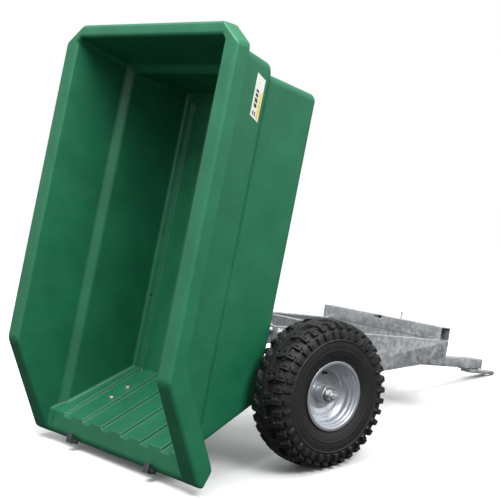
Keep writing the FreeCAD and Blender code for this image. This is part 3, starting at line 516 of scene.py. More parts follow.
def add_floor(sheet):
    """Floor and ramp outside the grooves, the floor's front end and the lip."""
    foot_u = ramp_u(TOP_INSET, TOP_INSET)
    end_u = ramp_u(LIP_W, TOP_INSET)
    half, front = wall_at(TOP_INSET)
    last = GROOVE_CENTRES[-1] + GROOVE_HALF
    lip_half = wall_at(LIP_W)[0]
    sheet.mirrored("floor", [(foot_u, last, TOP_INSET), (GROOVE_FRONT_U, last, TOP_INSET),
                             (GROOVE_FRONT_U, half, TOP_INSET), (foot_u, half, TOP_INSET)])
    side = [(foot_u, last, TOP_INSET), (foot_u, half, TOP_INSET)]
    for w in (LEDGE_FOOT_W, LEDGE_TOP_W, LIP_W):
        side.append((ramp_u(w, TOP_INSET), wall_at(w)[0], w))
    side.append((end_u, last, LIP_W))
    sheet.mirrored("ramp", side)
    across = []
    for centre in GROOVE_CENTRES:
        across += [(GROOVE_FRONT_U, centre - GROOVE_HALF, TOP_INSET),
                   (GROOVE_FRONT_U, centre + GROOVE_HALF, TOP_INSET)]
    sheet.face("floor", [(GROOVE_FRONT_U, -half, TOP_INSET)] + across
               + [(GROOVE_FRONT_U, half, TOP_INSET), (front - WALL_CORNER, half, TOP_INSET),
                  (front, half - WALL_CORNER, TOP_INSET), (front, WALL_CORNER - half, TOP_INSET),
                  (front - WALL_CORNER, -half, TOP_INSET)])
    low_end_u = ramp_u(LIP_W, GROOVE_INSET)
    teeth = [(end_u, -lip_half, LIP_W)]
    for centre in GROOVE_CENTRES:
        teeth += [(end_u, centre - GROOVE_HALF, LIP_W), (low_end_u, centre - GROOVE_FOOT_HALF, LIP_W),
                  (low_end_u, centre + GROOVE_FOOT_HALF, LIP_W), (end_u, centre + GROOVE_HALF, LIP_W)]
    teeth.append((end_u, lip_half, LIP_W))
    sheet.face("lip", teeth + [(LIP_U, lip_half, LIP_W), (LIP_U, -lip_half, LIP_W)])


def add_lip_edge(sheet):
    """Short turned-down edge of the lip and of the side rims' rear ends."""
    lip_half = wall_at(LIP_W)[0]
    low = LIP_W - LIP_EDGE
    sheet.face("edge", [(LIP_U, -lip_half, LIP_W), (LIP_U, lip_half, LIP_W),
                        (LIP_U, lip_half, low), (LIP_U, -lip_half, low)])
    sheet.mirrored("edge", [(LIP_U, lip_half, LIP_W), (LIP_U, SKIRT_HALF, LIP_W),
                            (LIP_U, SKIRT_HALF, SKIRT_END_W), (LIP_U, lip_half, low)])


def add_walls(sheet):
    """Side walls, front wall and the two cut-off corners, in three bands with a ledge."""
    bands = (("wall_low", TOP_INSET, LEDGE_FOOT_W), ("ledge", LEDGE_FOOT_W, LEDGE_TOP_W),
             ("wall_high", LEDGE_TOP_W, RIM_W))
    cut = WALL_CORNER
    for group, low_w, high_w in bands:
        low_half, low_front = wall_at(low_w)
        high_half, high_front = wall_at(high_w)
        side = [(low_front - cut, low_half, low_w), (high_front - cut, high_half, high_w)]
        if group == "wall_high":
            lip_half = wall_at(LIP_W)[0]
            side += [(KINK_U, high_half, high_w), (LIP_U, lip_half, LIP_W),
                     (ramp_u(LIP_W, TOP_INSET), lip_half, LIP_W)]
        else:
            side.append((ramp_u(high_w, TOP_INSET), high_half, high_w))
        side.append((ramp_u(low_w, TOP_INSET), low_half, low_w))
        if group == "wall_low":
            side.append((GROOVE_FRONT_U, low_half, low_w))
        sheet.mirrored(group, side)
        sheet.mirrored(group + "_corner", [
            (low_front - cut, low_half, low_w), (low_front, low_half - cut, low_w),
            (high_front, high_half - cut, high_w), (high_front - cut, high_half, high_w)])
        sheet.face(group, [(low_front, low_half - cut, low_w), (low_front, cut - low_half, low_w),
                           (high_front, cut - high_half, high_w), (high_front, high_half - cut, high_w)])


def add_rim(sheet):
    """Flat rim round the top, sloping down to the lip, and its turned-down skirt."""
    half, front = wall_at(RIM_W)
    cut = WALL_CORNER
    lip_half = wall_at(LIP_W)[0]
    side_u = SKIRT_FRONT_U - CORNER_U
    front_v = SKIRT_HALF - CORNER_V
    low = RIM_W - SKIRT
    sheet.mirrored("rim_slope", [(LIP_U, lip_half, LIP_W), (KINK_U, half, RIM_W),
                                 (KINK_U, SKIRT_HALF, RIM_W), (LIP_U, SKIRT_HALF, LIP_W)])
    sheet.mirrored("rim", [(KINK_U, half, RIM_W), (front - cut, half, RIM_W),
                           (side_u, SKIRT_HALF, RIM_W), (KINK_U, SKIRT_HALF, RIM_W)])
    sheet.mirrored("rim", [(front - cut, half, RIM_W), (front, half - cut, RIM_W),
                           (SKIRT_FRONT_U, front_v, RIM_W), (side_u, SKIRT_HALF, RIM_W)])
    sheet.face("rim", [(front, half - cut, RIM_W), (front, cut - half, RIM_W),
                       (SKIRT_FRONT_U, -front_v, RIM_W), (SKIRT_FRONT_U, front_v, RIM_W)])
    end = [(LIP_U, SKIRT_END_W), (LIP_U + SKIRT_END_CUT[0], SKIRT_END_W - SKIRT_END_CUT[1]),
           SKIRT_CORNER_REAR, SKIRT_CORNER, SKIRT_CORNER_FRONT]
    sheet.mirrored("skirt", [(LIP_U, SKIRT_HALF, LIP_W), (KINK_U, SKIRT_HALF, RIM_W),
                             (SKIRT_KINK_U, SKIRT_HALF, low)]
                   + [(u, SKIRT_HALF, w) for u, w in reversed(end)])
    sheet.mirrored("skirt", [(KINK_U, SKIRT_HALF, RIM_W), (side_u, SKIRT_HALF, RIM_W),
                             (side_u, SKIRT_HALF, low), (SKIRT_KINK_U, SKIRT_HALF, low)])
    sheet.mirrored("skirt_corner", [(side_u, SKIRT_HALF, RIM_W), (SKIRT_FRONT_U, front_v, RIM_W),
                                    (SKIRT_FRONT_U, front_v, low), (side_u, SKIRT_HALF, low)])
    sheet.face("skirt", [(SKIRT_FRONT_U, front_v, RIM_W), (SKIRT_FRONT_U, -front_v, RIM_W),
                         (SKIRT_FRONT_U, -front_v, low), (SKIRT_FRONT_U, front_v, low)])


# bevel width of the edge between two groups of faces, and the widest that a weight of 1 stands for
EDGE_WIDTHS = {
    ("floor", "groove"): 0.0035, ("ramp", "groove"): 0.0035, ("groove", "groove"): 0.0035,
    ("floor", "ramp"): 0.0035, ("lip", "ramp"): 0.004, ("lip", "groove"): 0.004,
    ("floor", "wall_low"): 0.012, ("floor", "wall_low_corner"): 0.012, ("ramp", "wall_low"): 0.012,
    ("ramp", "ledge"): 0.008, ("ramp", "wall_high"): 0.010, ("lip", "wall_high"): 0.010,
    ("wall_low", "ledge"): 0.008, ("ledge", "wall_high"): 0.008,
    ("wall_low_corner", "ledge_corner"): 0.008, ("ledge_corner", "wall_high_corner"): 0.008,
    ("wall_low", "wall_low_corner"): 0.008, ("ledge", "ledge_corner"): 0.008,
    ("wall_high", "wall_high_corner"): 0.008,
    ("wall_high", "rim"): 0.011, ("wall_high_corner", "rim"): 0.011, ("wall_high", "rim_slope"): 0.011,
    ("rim", "rim_slope"): 0.018, ("rim", "skirt"): 0.014, ("rim_slope", "skirt"): 0.014,
    ("rim", "skirt_corner"): 0.014, ("skirt", "skirt_corner"): 0.014,
    ("lip", "edge"): 0.024, ("rim_slope", "edge"): 0.014, ("edge", "skirt"): 0.012,
}
BEVEL_WIDTH = 0.03
FLAT_DEG = 3.0

# edges that the bevel groups leave sharp: those of the skirt, the lip and the holes
FREE_EDGE_DEG = 80.0
FREE_EDGE_R = 0.0016


def weigh_edges(sheet):
    """Bevel weight of each edge, from the groups on its two sides."""
    names = {number: name for name, number in sheet.names.items()}
    widths = {frozenset(pair): width for pair, width in EDGE_WIDTHS.items()}
    layer = sheet.work.edges.layers.float.new("bevel_weight_edge")
    for edge in sheet.work.edges:
        if len(edge.link_faces) != 2 or edge.calc_face_angle() < math.radians(FLAT_DEG):
            continue
        pair = frozenset(names[face[sheet.group]] for face in edge.link_faces)
        edge[layer] = widths.get(pair, 0.0) / BEVEL_WIDTH


def applied(work_object, name):
    """Mesh of an object with its modifiers carried out; the object is removed."""
    graph = bpy.context.evaluated_depsgraph_get()
    mesh = bpy.data.meshes.new_from_object(work_object.evaluated_get(graph))
    mesh.name = name
    bpy.data.objects.remove(work_object)
    return mesh


def tub_cutter():
    """Two upright rods for the drain holes and two blocks where the straps pass the lip's edge."""
    work = bmesh.new()
    for side in (-1, 1):
        drain = Matrix.Translation((DRAIN_U, side * DRAIN_V, TOP_INSET - WALL))
        bmesh.ops.create_cone(work, cap_ends=True, segments=32, radius1=DRAIN_R, radius2=DRAIN_R,
                              depth=DRAIN_ROD, matrix=drain)
        size = Matrix.Diagonal((SLOT_SIZE, STRAP_W + 2.0 * STRAP_GAP, SLOT_SIZE, 1.0))
        slot_w = STRAP_TOP_W + SLOT_CLEARANCE - SLOT_SIZE / 2.0
        slot = Matrix.Translation((LIP_U, side * STRAP_V, slot_w))
        bmesh.ops.create_cube(work, size=1.0, matrix=slot @ size)
    cutter = bpy.data.objects.new("tub_cutter", finished_mesh(work, "tub_cutter"))
    bpy.context.scene.collection.objects.link(cutter)
    return cutter


def make_tub():
    """The moulded tub: one sheet with rounded edges, given its wall thickness."""
    sheet = Sheet()
    add_grooves(sheet)
    add_floor(sheet)
    add_lip_edge(sheet)
    add_walls(sheet)
    add_rim(sheet)
    work = sheet.work
    bmesh.ops.remove_doubles(work, verts=work.verts, dist=MERGE_DISTANCE)
    bmesh.ops.recalc_face_normals(work, faces=work.faces)
    floor = next(f for f in work.faces if f[sheet.group] == sheet.names["floor"])
    if floor.normal.z < 0.0:
        bmesh.ops.reverse_faces(work, faces=work.faces)
    weigh_edges(sheet)
    shell = bpy.data.objects.new("tub_sheet", finished_mesh(work, "tub_sheet"))
    bpy.context.scene.collection.objects.link(shell)
    bevel = shell.modifiers.new("round_edges", "BEVEL")
    bevel.limit_method = "WEIGHT"
    bevel.width = BEVEL_WIDTH
    bevel.segments = 4
    bevel.use_clamp_overlap = False
    thick = shell.modifiers.new("wall", "SOLIDIFY")
    thick.thickness = WALL
    thick.offset = -1.0
    thick.use_even_offset = True
    cutter = tub_cutter()
    holes = shell.modifiers.new("holes", "BOOLEAN")
    holes.operation = "DIFFERENCE"
    holes.object = cutter
    soften = shell.modifiers.new("free_edges", "BEVEL")
    soften.limit_method = "ANGLE"
    soften.angle_limit = math.radians(FREE_EDGE_DEG)
    soften.width = FREE_EDGE_R
    soften.segments = 2
    soften.use_clamp_overlap = True
    solid = applied(shell, "tub_shell")
    bpy.data.objects.remove(cutter)
    solid.transform(TUB_TO_ROW)
    shade(solid, 38.0)
    made = add_object("tub_shell", solid, "tub", [GREEN], ["tub"])
    even = made.modifiers.new("even_shading", "WEIGHTED_NORMAL")
    even.keep_sharp = True


# ---------------------------------------------------------------- label

# corners as (u, w), and the print on it as shares of its length and of its width
LABEL_CORNERS = ((0.902, 0.291), (1.042, 0.291), (1.060, 0.331), (0.920, 0.331))
LABEL_T = 0.0005
LABEL_GAP = 0.0003
PRINT_T = 0.00005
CORNER_R = 0.002
SMALL_CORNER_R = 0.001
STRIPE = ((0.03, 0.66), (0.06, 0.34))
BARS_ALONG = ((0.25, 0.33), (0.36, 0.46), (0.49, 0.57), (0.60, 0.66))
BARS_ACROSS = (0.46, 0.80)
MARKS_ALONG = (0.06, 0.16)
MARKS_ACROSS = ((0.44, 0.56), (0.66, 0.78))


def label_v(w):
    """Outer face of the right upper wall at a height."""
    (low_w, low_half, _), (high_w, high_half, _) = WALL_LEVELS[2:]
    share = (w - low_w + WALL) / (high_w - low_w + WALL)
    return -(low_half + WALL + (high_half - low_half) * share) - LABEL_GAP


def on_label(along, across):
    """Place on the slanted label, from shares of its length and of its width."""
    start, end, _, start_high = (Vector(corner) for corner in LABEL_CORNERS)
    return start + (end - start) * along + (start_high - start) * across


def label_patch(work, along, across, radius, stand_off, material_index):
    """One rounded patch of print, a thin plate on the wall."""
    corners = [on_label(along[0], across[0]), on_label(along[1], across[0]),
               on_label(along[1], across[1]), on_label(along[0], across[1])]
    outline = rounded([tuple(corner) for corner in corners], radius)
    top = [work.verts.new((p[0], label_v(p[1]) - LABEL_T - stand_off, p[1])) for p in outline]
    base = [work.verts.new((p[0], label_v(p[1]), p[1])) for p in outline]
    faces = [work.faces.new(top), work.faces.new(list(reversed(base)))]
    for index in range(len(top)):
        follow = (index + 1) % len(top)
        faces.append(work.faces.new([base[index], base[follow], top[follow], top[index]]))
    for face in faces:
        face.material_index = material_index


def make_label():
    """Sticker: white field, a yellow stripe along its lower edge and plain dark bars for the wording."""
    work = bmesh.new()
    label_patch(work, (0.0, 1.0), (0.0, 1.0), CORNER_R, 0.0, 0)
    label_patch(work, *STRIPE, CORNER_R, PRINT_T, 1)
    for along in BARS_ALONG:
        label_patch(work, along, BARS_ACROSS, CORNER_R, PRINT_T, 2)
    for across in MARKS_ACROSS:
        label_patch(work, MARKS_ALONG, across, SMALL_CORNER_R, PRINT_T, 2)
    bmesh.ops.recalc_face_normals(work, faces=work.faces)
    mesh = finished_mesh(work, "label_sticker")
    mesh.transform(TUB_TO_ROW)
    shade(mesh, 30.0)
    add_object("label_sticker", mesh, "tub", [PAPER_WHITE, PRINT_YELLOW, PRINT_DARK], ["label"])


# ---------------------------------------------------------------- wheels

LUG_PITCHES = 19
LUG_HEIGHT = 0.0138
LUG_EDGE = 0.0020
CENTRE_EDGE = 0.0022
TREAD_R = 0.25
TYRE_COLUMNS = 760
ROW_SPACING = 0.0020
SHARED_ROWS = 8

# centre lugs: half width as a share of the pitch, start and end along the arc from the centreline,
# how far they sweep forward, and their dimples as (across, along)
CENTRE_LUG = (0.27, -0.012, 0.046)
SWEEP = 0.26
SWEEP_END = 0.050
SWEEP_LEAST = -0.6
DIMPLES = ((0.0, 0.010), (0.002, 0.030))
DIMPLE_R = 0.0065
DIMPLE_DEPTH = 0.62
DIMPLE_SLOPE = 0.45

# two shoulder blocks a pitch, each with a sipe, the side blocks below them, and the low ties between
BLOCK = (0.135, 0.040, 0.0715)
SIPE = (0.0022, 0.050, 0.066)
SIPE_EDGE = 0.0018
SIPE_DEPTH = 0.45
SIDE_BLOCK = (0.0765, 0.1015)
SIDE_BLOCK_HALVES = {-0.25: 0.085, 0.25: 0.125}
SIDE_BLOCK_HEIGHT = 0.9
TIE = (0.42, 0.030, 0.056)
TIE_EDGE = 0.004
TIE_HEIGHT = 0.45
TAPER = (0.070, 0.105)
TAPER_DEPTH = 0.55

# rings round the sidewall: arc length, height, width
RINGS = ((0.1080, 0.0022, 0.0022), (0.1420, 0.0014, 0.0016))

# outer half of the tyre's section from crown to bead, and half of its inside from bead to crown,
# each point as (distance from the middle, radius)
SKIN = ((0.0, 0.2399), (0.028, 0.2387), (0.050, 0.2344), (0.066, 0.2266), (0.0750, 0.2130),
        (0.0790, 0.1960), (0.0800, 0.1820), (0.0805, 0.1700), (0.0790, 0.1520), (0.0755, 0.1370),
        (0.0720, 0.1270), (0.0700, 0.1200), (0.0690, 0.1120), (0.0680, 0.1060))
LINER = ((0.0600, 0.1055), (0.0620, 0.1250), (0.0680, 0.1500), (0.0690, 0.1750), (0.0660, 0.2000),
         (0.0560, 0.2200), (0.0300, 0.2310))


def smooth_path(points, spacing):
    """Evenly spaced points on a smooth curve through the given ones, with their arc lengths."""
    points = np.array(points)
    padded = np.vstack([2 * points[0] - points[1], points, 2 * points[-1] - points[-2]])
    fine = []
    for index in range(1, len(padded) - 2):
        p0, p1, p2, p3 = padded[index - 1:index + 3]
        for share in np.linspace(0.0, 1.0, 24, endpoint=False):
            fine.append(0.5 * (2 * p1 + (p2 - p0) * share + (2 * p0 - 5 * p1 + 4 * p2 - p3) * share ** 2
                               + (3 * p1 - p0 - 3 * p2 + p3) * share ** 3))
    fine.append(points[-1])
    fine = np.array(fine)
    arc = np.concatenate([[0.0], np.cumsum(np.linalg.norm(np.diff(fine, axis=0), axis=1))])
    stops = np.linspace(0.0, arc[-1], int(round(arc[-1] / spacing)) + 1)
    return np.stack([np.interp(stops, arc, fine[:, 0]), np.interp(stops, arc, fine[:, 1])], axis=1), stops


def bar_height(across, along, half_across, start, end, edge):
    """Height share of one bar: 1 on top, falling to 0 over its sides within the edge's width."""
    inside_across = (half_across - np.abs(across)) / edge
    inside_along = np.minimum(along - start, end - along) / edge
    return smooth_step(np.minimum(inside_across, inside_along))


def dimple_depth(across, along, spot_across, spot_along, radius):
    """Depth share of a round dimple."""
    distance = np.hypot(across - spot_across, along - spot_along)
    return smooth_step((radius - distance) / (DIMPLE_SLOPE * radius))


def tread_lift(angles, arcs):
    """How far the lugs of one shoulder stand out, at each arc length from the centreline and angle."""
    turns = angles[None, :] * LUG_PITCHES / (2.0 * math.pi)
    run = 2.0 * math.pi / LUG_PITCHES * TREAD_R
    length = arcs[:, None]
    sweep = SWEEP * np.clip(1.0 - (length / SWEEP_END) ** 2, SWEEP_LEAST, 1.0)
    across = ((turns - sweep + 0.5) % 1.0 - 0.5) * run
    centre = bar_height(across, length, CENTRE_LUG[0] * run, *CENTRE_LUG[1:], CENTRE_EDGE)
    for spot_across, spot_along in DIMPLES:
        dimple = dimple_depth(across, length, spot_across, spot_along, DIMPLE_R)
        centre = centre - DIMPLE_DEPTH * dimple
    shoulder = np.zeros_like(centre)
    for offset, side_half in SIDE_BLOCK_HALVES.items():
        local = ((turns + 0.5 - offset) % 1.0 - 0.5) * run
        block = bar_height(local, length, BLOCK[0] * run, *BLOCK[1:], LUG_EDGE)
        sipe = bar_height(local, length, *SIPE, SIPE_EDGE)
        side_block = bar_height(local, length, side_half * run, *SIDE_BLOCK, LUG_EDGE)
        shoulder = np.maximum(shoulder, block - SIPE_DEPTH * sipe * (block > 0.5))
        shoulder = np.maximum(shoulder, SIDE_BLOCK_HEIGHT * side_block)
    tie = TIE_HEIGHT * bar_height(across, length, TIE[0] * run, *TIE[1:], TIE_EDGE)
    height = np.maximum(np.maximum(centre, shoulder), tie)
    taper = 1.0 - TAPER_DEPTH * smooth_step((length - TAPER[0]) / (TAPER[1] - TAPER[0]))
    return LUG_HEIGHT * height * taper


def make_tyre(side_name, side):
    """Knobbly tyre: a smooth skin with lugs raised out of it, ridges, and a closed inner liner."""
    half, arcs = smooth_path(SKIN, ROW_SPACING)
    far = [(-y, r) for y, r in half[:0:-1]]
    near = [(y, r) for y, r in half]
    liner = list(LINER) + [(-y, r) for y, r in reversed(LINER)]
    rows = far + near + liner
    far_arcs = arcs[:0:-1]

    def lift(angles):
        """The two shoulders, half a pitch apart, where each one's lugs also reach past the middle."""
        ring = sum(height * np.exp(-((arcs - arc) / width) ** 2) for arc, height, width in RINGS)
        far_angles = angles + math.pi / LUG_PITCHES
        outer = tread_lift(angles, arcs) + ring[:, None]
        other = tread_lift(far_angles, far_arcs) + ring[:0:-1][:, None]
        shared = SHARED_ROWS
        outer[:shared] = np.maximum(outer[:shared], tread_lift(far_angles, -arcs[:shared]))
        other[1 - shared:] = np.maximum(other[1 - shared:], tread_lift(angles, -far_arcs[1 - shared:]))
        return np.vstack([other, outer, np.zeros((len(liner), len(angles)))])

    mesh = revolved_mesh("tyre_body_" + side_name, rows, TYRE_COLUMNS, WHEEL, side, lift)
    shade(mesh, 60.0)
    add_object("tyre_body_" + side_name, mesh, "wheel_" + side_name, [TYRE_RUBBER],
               ["tyre_" + side_name])


# closed sections of the rim and hub: (distance outwards from the wheel's middle, radius)
RIM_SECTION = ((-0.0760, 0.1190), (-0.0760, 0.1010), (-0.0500, 0.0995), (-0.0340, 0.0985), (-0.0260, 0.0820),
               (0.0140, 0.0815), (0.0125, 0.0700), (0.0050, 0.0560), (0.0040, 0.0310), (0.0080, 0.0310),
               (0.0090, 0.0540), (0.0165, 0.0680), (0.0190, 0.0800), (0.0230, 0.0820), (0.0330, 0.0925),
               (0.0470, 0.0935), (0.0520, 0.0990), (0.0620, 0.1000), (0.0660, 0.1040), (0.0730, 0.1055),
               (0.0760, 0.1090), (0.0760, 0.1190),
               (0.0728, 0.1190), (0.0720, 0.1085), (0.0690, 0.1045), (0.0540, 0.1040), (0.0360, 0.1020),
               (0.0240, 0.0850), (-0.0280, 0.0850), (-0.0360, 0.1020), (-0.0700, 0.1040), (-0.0728, 0.1190))
HUB_SECTION = ((-0.0570, 0.0310), (-0.0570, 0.0260), (-0.0420, 0.0260), (-0.0420, 0.0220), (0.0330, 0.0220),
               (0.0330, 0.0260), (0.0480, 0.0260), (0.0480, 0.0310))


def make_turned(kind, side_name, side, section, radius, columns):
    """A round wheel part of the given section, in silver paint."""
    name = kind + "_body_" + side_name
    mesh = revolved_mesh(name, rounded(section, radius, 3), columns, WHEEL, side)
    shade(mesh, 50.0)
    add_object(name, mesh, "wheel_" + side_name, [SILVER], [kind + "_" + side_name])


def make_wheel(side_name, side):
    """Knobbly tyre, pressed rim with rolled flanges and a stepped barrel, and the hub tube."""
    make_tyre(side_name, side)
    make_turned("rim", side_name, side, RIM_SECTION, 0.0035, 128)
    make_turned("hub", side_name, side, HUB_SECTION, 0.0012, 96)


# ---------------------------------------------------------------- welds

WELD_R = 0.0032
BEAD_STEP = 0.0011
BEAD_SIDES = 10
SCALLOP = 0.0045
SCALLOP_DEPTH = 0.14
WANDER = 0.08
WANDER_RATE = 210.0
BEAD_TAPER = 0.003
BEAD_END = 0.25
MEMBER_INNER_V = 0.328

# name, body, two ends on the left side as (forward, left, up), share of the usual radius
WELDS = (
    ("crossbeam_rear", "frame", (0.727, 0.299, 0.197), (0.727, 0.330, 0.197), 1.0),
    ("crossbeam_front", "frame", (0.777, 0.299, 0.1965), (0.777, 0.330, 0.1965), 0.8),
    ("axle_top", "frame", (-0.018, MEMBER_INNER_V, 0.020), (0.018, MEMBER_INNER_V, 0.020), 1.0),
    ("axle_front", "frame", (0.020, MEMBER_INNER_V, -0.006), (0.020, MEMBER_INNER_V, 0.018), 1.0),
    ("mid_cross", "frame", (0.405, MEMBER_INNER_V, 0.108), (0.405, MEMBER_INNER_V, 0.185), 1.0),
    ("front_cross", "frame", (0.734, MEMBER_INNER_V, 0.130), (0.734, MEMBER_INNER_V, 0.190), 1.0),
    ("drawbar", "frame", (0.692, 0.030, 0.1035), (0.732, 0.030, 0.1035), 0.9),
    ("spacer", "frame", (1.253, 0.024, 0.0637), (1.328, 0.024, 0.0637), 0.9),
    ("hitch", "frame", (1.278, 0.0245, 0.0563), (1.328, 0.0245, 0.0563), 0.9),
    ("bracket", "tub", (0.187, 0.2555, 0.0045), (0.300, 0.2555, 0.0045), 0.9),
)


def bead_radius(along, length):
    """Radius share along a bead: scallops and a slow wander, pinched at both ends."""
    scallop = 1.0 - SCALLOP_DEPTH + SCALLOP_DEPTH * abs(math.sin(math.pi * along / SCALLOP))
    wander = 1.0 + WANDER * math.sin(along * WANDER_RATE)
    pinch = min(1.0, along / BEAD_TAPER + BEAD_END, (length - along) / BEAD_TAPER + BEAD_END)
    return scallop * wander * pinch


def weld_bead(name, body, start, end, radius):
    """Rippled bead between two points of the frame or tub."""
    length = (end - start).length
    ahead = (end - start).normalized()
    aside = ahead.orthogonal().normalized()
    up = ahead.cross(aside)
    steps = max(8, int(length / BEAD_STEP))
    work = bmesh.new()
    rings = []
    for step in range(steps + 1):
        share = step / steps
        ring_r = radius * bead_radius(share * length, length)
        middle = start.lerp(end, share)
        ring = []
        for corner in range(BEAD_SIDES):
            angle = 2.0 * math.pi * corner / BEAD_SIDES
            ring.append(work.verts.new(middle + aside * (ring_r * math.cos(angle))
                                       + up * (ring_r * math.sin(angle))))
        rings.append(ring)
    for first, second in zip(rings, rings[1:]):
        for corner in range(BEAD_SIDES):
            follow = (corner + 1) % BEAD_SIDES
            work.faces.new([first[corner], first[follow], second[follow], second[corner]])
    work.faces.new(list(reversed(rings[0])))
    work.faces.new(rings[-1])
    bmesh.ops.recalc_face_normals(work, faces=work.faces)
    mesh = finished_mesh(work, name)
    mesh.transform(TUB_TO_ROW if body == "tub" else FRAME_TO_ROW)
    shade(mesh, 70.0)
    add_object(name, mesh, body, [WELD_METAL])


def make_welds():
    """Beads on both sides where the steel pieces of the frame and the tub's supports meet."""
    for side_name, side in SIDES:
        flip = Vector((1.0, side, 1.0))
        for name, body, start, end, share in WELDS:
            weld_bead("weld_" + name + "_" + side_name, body, Vector(start) * flip, Vector(end) * flip,
                      WELD_R * share)


# ---------------------------------------------------------------- carried-over steel

COPLANAR_DEG = 0.6
EDGE_DEG = 35.0

# material, slot, radius of the edges, nodes
DRESSED = (
    (GALVANISED, "galvanised_steel", 0.0012,
     ("axle_beam", "crossbeam", "front_cross_member", "mid_cross_member", "drawbar",
      "side_member_left", "side_member_right", "support_bar_left", "support_bar_right",
      "pivot_bracket_left", "pivot_bracket_right", "striker", "latch_guides")),
    (GALVANISED, "galvanised_steel", 0.0018,
     ("hitch_plate", "hitch_spacer", "stub_axle_left", "stub_axle_right")),
    # the ramp straps take the darker copy of the zinc, painted shade
    (PAINTED_SHADE_STEEL, "galvanised_steel", 0.0018, ("ramp_strap_left", "ramp_strap_right")),
    (ZINC, "zinc_fasteners", 0.0012,
     ("pivot_bolts", "pivot_nuts", "ramp_nuts", "striker_bolts", "axle_nuts", "latch_bolt")),
    (ZINC, "zinc_fasteners", 0.0026, ("ramp_bolts",)),
    (ZINC, "zinc_fasteners", 0.0006,
     ("pivot_washers", "axle_washers", "ramp_washers", "pivot_bushes")),
    (BEARING_STEEL, "bearing_steel", 0.0008, ("bearings_left", "bearings_right")),
    (VALVE_RUBBER, "valve_rubber", 0.0010, ("valve_left", "valve_right")),
)


def dress(name, material, width):
    """Keeps a CAD node: merges its triangles, rounds its edges and gives it a material."""
    shown = frame["nodes"][name]
    weld = shown.modifiers.new("merge", "WELD")
    weld.merge_threshold = MERGE_DISTANCE
    flat = shown.modifiers.new("flatten", "DECIMATE")
    flat.decimate_type = "DISSOLVE"
    flat.angle_limit = math.radians(COPLANAR_DEG)
    bevel = shown.modifiers.new("round_edges", "BEVEL")
    bevel.limit_method = "ANGLE"
    bevel.angle_limit = math.radians(EDGE_DEG)
    bevel.width = width
    bevel.segments = 3
    bevel.harden_normals = True
    shown.data.materials.clear()
    shown.data.materials.append(material)
    shade(shown.data, 30.0)


def dress_nodes():
    """Every CAD node that stays in view."""
    for material, slot, width, names in DRESSED:
        for name in names:
            dress(name, material, width)


# ---------------------------------------------------------------- studio

FLOOR_GAP = 0.0005


def make_floor():
    """Wide pale floor just under the wheels. It takes shadows and throws no light back."""
    work = bmesh.new()
    bmesh.ops.create_circle(work, cap_ends=True, segments=96, radius=FLOOR_FADE[1])
    mesh = finished_mesh(work, "studio_floor")
    mesh.materials.append(make_floor_material())
    floor = bpy.data.objects.new("studio_floor", mesh)
    floor.location.z = -FLOOR_GAP
    floor.visible_diffuse = False
    floor.visible_glossy = False
    bpy.context.scene.collection.objects.link(floor)


def area_light(name, spot, aim, size, power):
    """Soft square light aimed at a point."""
    data = bpy.data.lights.new(name, "AREA")
    data.shape = "SQUARE"
    data.size = size
    data.energy = power
    light = bpy.data.objects.new(name, data)
    light.location = spot
    light.rotation_euler = (Vector(aim) - Vector(spot)).to_track_quat("-Z", "Y").to_euler()
    bpy.context.scene.collection.objects.link(light)


# light of the surroundings at shares of the way from straight below to straight above
SKY = ((0.0, 0.15), (0.44, 0.17), (0.52, 0.45), (0.62, 0.60), (1.0, 1.5))
SKY_COLOUR = (0.98, 0.99, 1.0, 1)


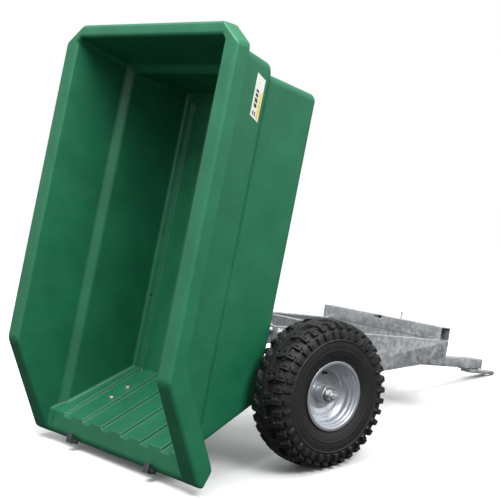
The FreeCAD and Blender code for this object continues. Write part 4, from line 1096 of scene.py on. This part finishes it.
def make_world():
    """White backdrop; its light comes mainly from above, as under an overcast sky."""
    world = bpy.data.worlds.new("studio")
    world.use_nodes = True
    nodes = world.node_tree.nodes
    links = world.node_tree.links
    direction = node(world, "ShaderNodeTexCoord").outputs["Generated"]
    height = node(world, "ShaderNodeSeparateXYZ", {0: direction}).outputs["Z"]
    curve = node(world, "ShaderNodeFloatCurve", {"Value": spread(world, height, -1.0, 1.0)})
    points = curve.mapping.curves[0].points
    brightest = SKY[-1][1]
    for point, (level, light) in zip(points, (SKY[0], SKY[-1])):
        point.location = (level, light / brightest)
    for level, light in SKY[1:-1]:
        points.new(level, light / brightest)
    curve.mapping.update()
    strength = arithmetic(world, "MULTIPLY", curve.outputs["Value"], brightest)
    sky = nodes["Background"]
    sky.inputs["Color"].default_value = SKY_COLOUR
    links.new(strength, sky.inputs["Strength"])
    backdrop = node(world, "ShaderNodeBackground", {"Color": (1.0, 1.0, 1.0, 1)})
    seen = node(world, "ShaderNodeLightPath").outputs["Is Camera Ray"]
    mixed = node(world, "ShaderNodeMixShader", {0: seen, 1: sky.outputs[0], 2: backdrop.outputs[0]})
    links.new(mixed.outputs[0], nodes["World Output"].inputs["Surface"])
    bpy.context.scene.world = world


def make_lights():
    """Three soft lights: a key high on the right, a weak fill in front and a broad one overhead."""
    area_light("key", (-0.9, -4.4, 4.2), (-0.3, 0.0, 0.6), 2.2, 240.0)
    area_light("fill", (3.2, -3.6, 2.0), (0.2, 0.0, 0.4), 2.5, 30.0)
    area_light("top", (-1.9, -0.2, 4.6), (-0.4, 0.0, 0.5), 2.6, 175.0)


CAMERA_PLACE = Vector((-3.51044, -4.00306, 1.45084))
CAMERA_TURN_DEG = 38.79519
CAMERA_DOWN_DEG = 8.52887
CAMERA_ROLL_DEG = -1.042
CAMERA_LENS = 102.194
SENSOR = 36.0
UP = Vector((0.0, 0.0, 1.0))


def make_camera():
    """Camera to the trailer's right and behind, looking forward, left and slightly down."""
    data = bpy.data.cameras.new("camera")
    data.sensor_width = SENSOR
    data.lens = CAMERA_LENS
    camera = bpy.data.objects.new("camera", data)
    turn = math.radians(CAMERA_TURN_DEG)
    down = math.radians(CAMERA_DOWN_DEG)
    roll = math.radians(CAMERA_ROLL_DEG)
    right = Vector((math.cos(turn), -math.sin(turn), 0.0))
    level = Vector((math.sin(turn), math.cos(turn), 0.0))
    ahead = level * math.cos(down) - UP * math.sin(down)
    up = level * math.sin(down) + UP * math.cos(down)
    tilted_right = right * math.cos(roll) + up * math.sin(roll)
    tilted_up = up * math.cos(roll) - right * math.sin(roll)
    turned = Matrix((tilted_right, tilted_up, -ahead)).transposed().to_4x4()
    camera.matrix_world = Matrix.Translation(CAMERA_PLACE) @ turned
    bpy.context.scene.collection.objects.link(camera)
    bpy.context.scene.camera = camera


make_tub()
make_label()
for wheel_name, wheel_side in SIDES:
    make_wheel(wheel_name, wheel_side)
make_welds()
dress_nodes()
make_floor()
make_world()
make_lights()
make_camera()
bpy.context.scene.view_settings.view_transform = "Standard"
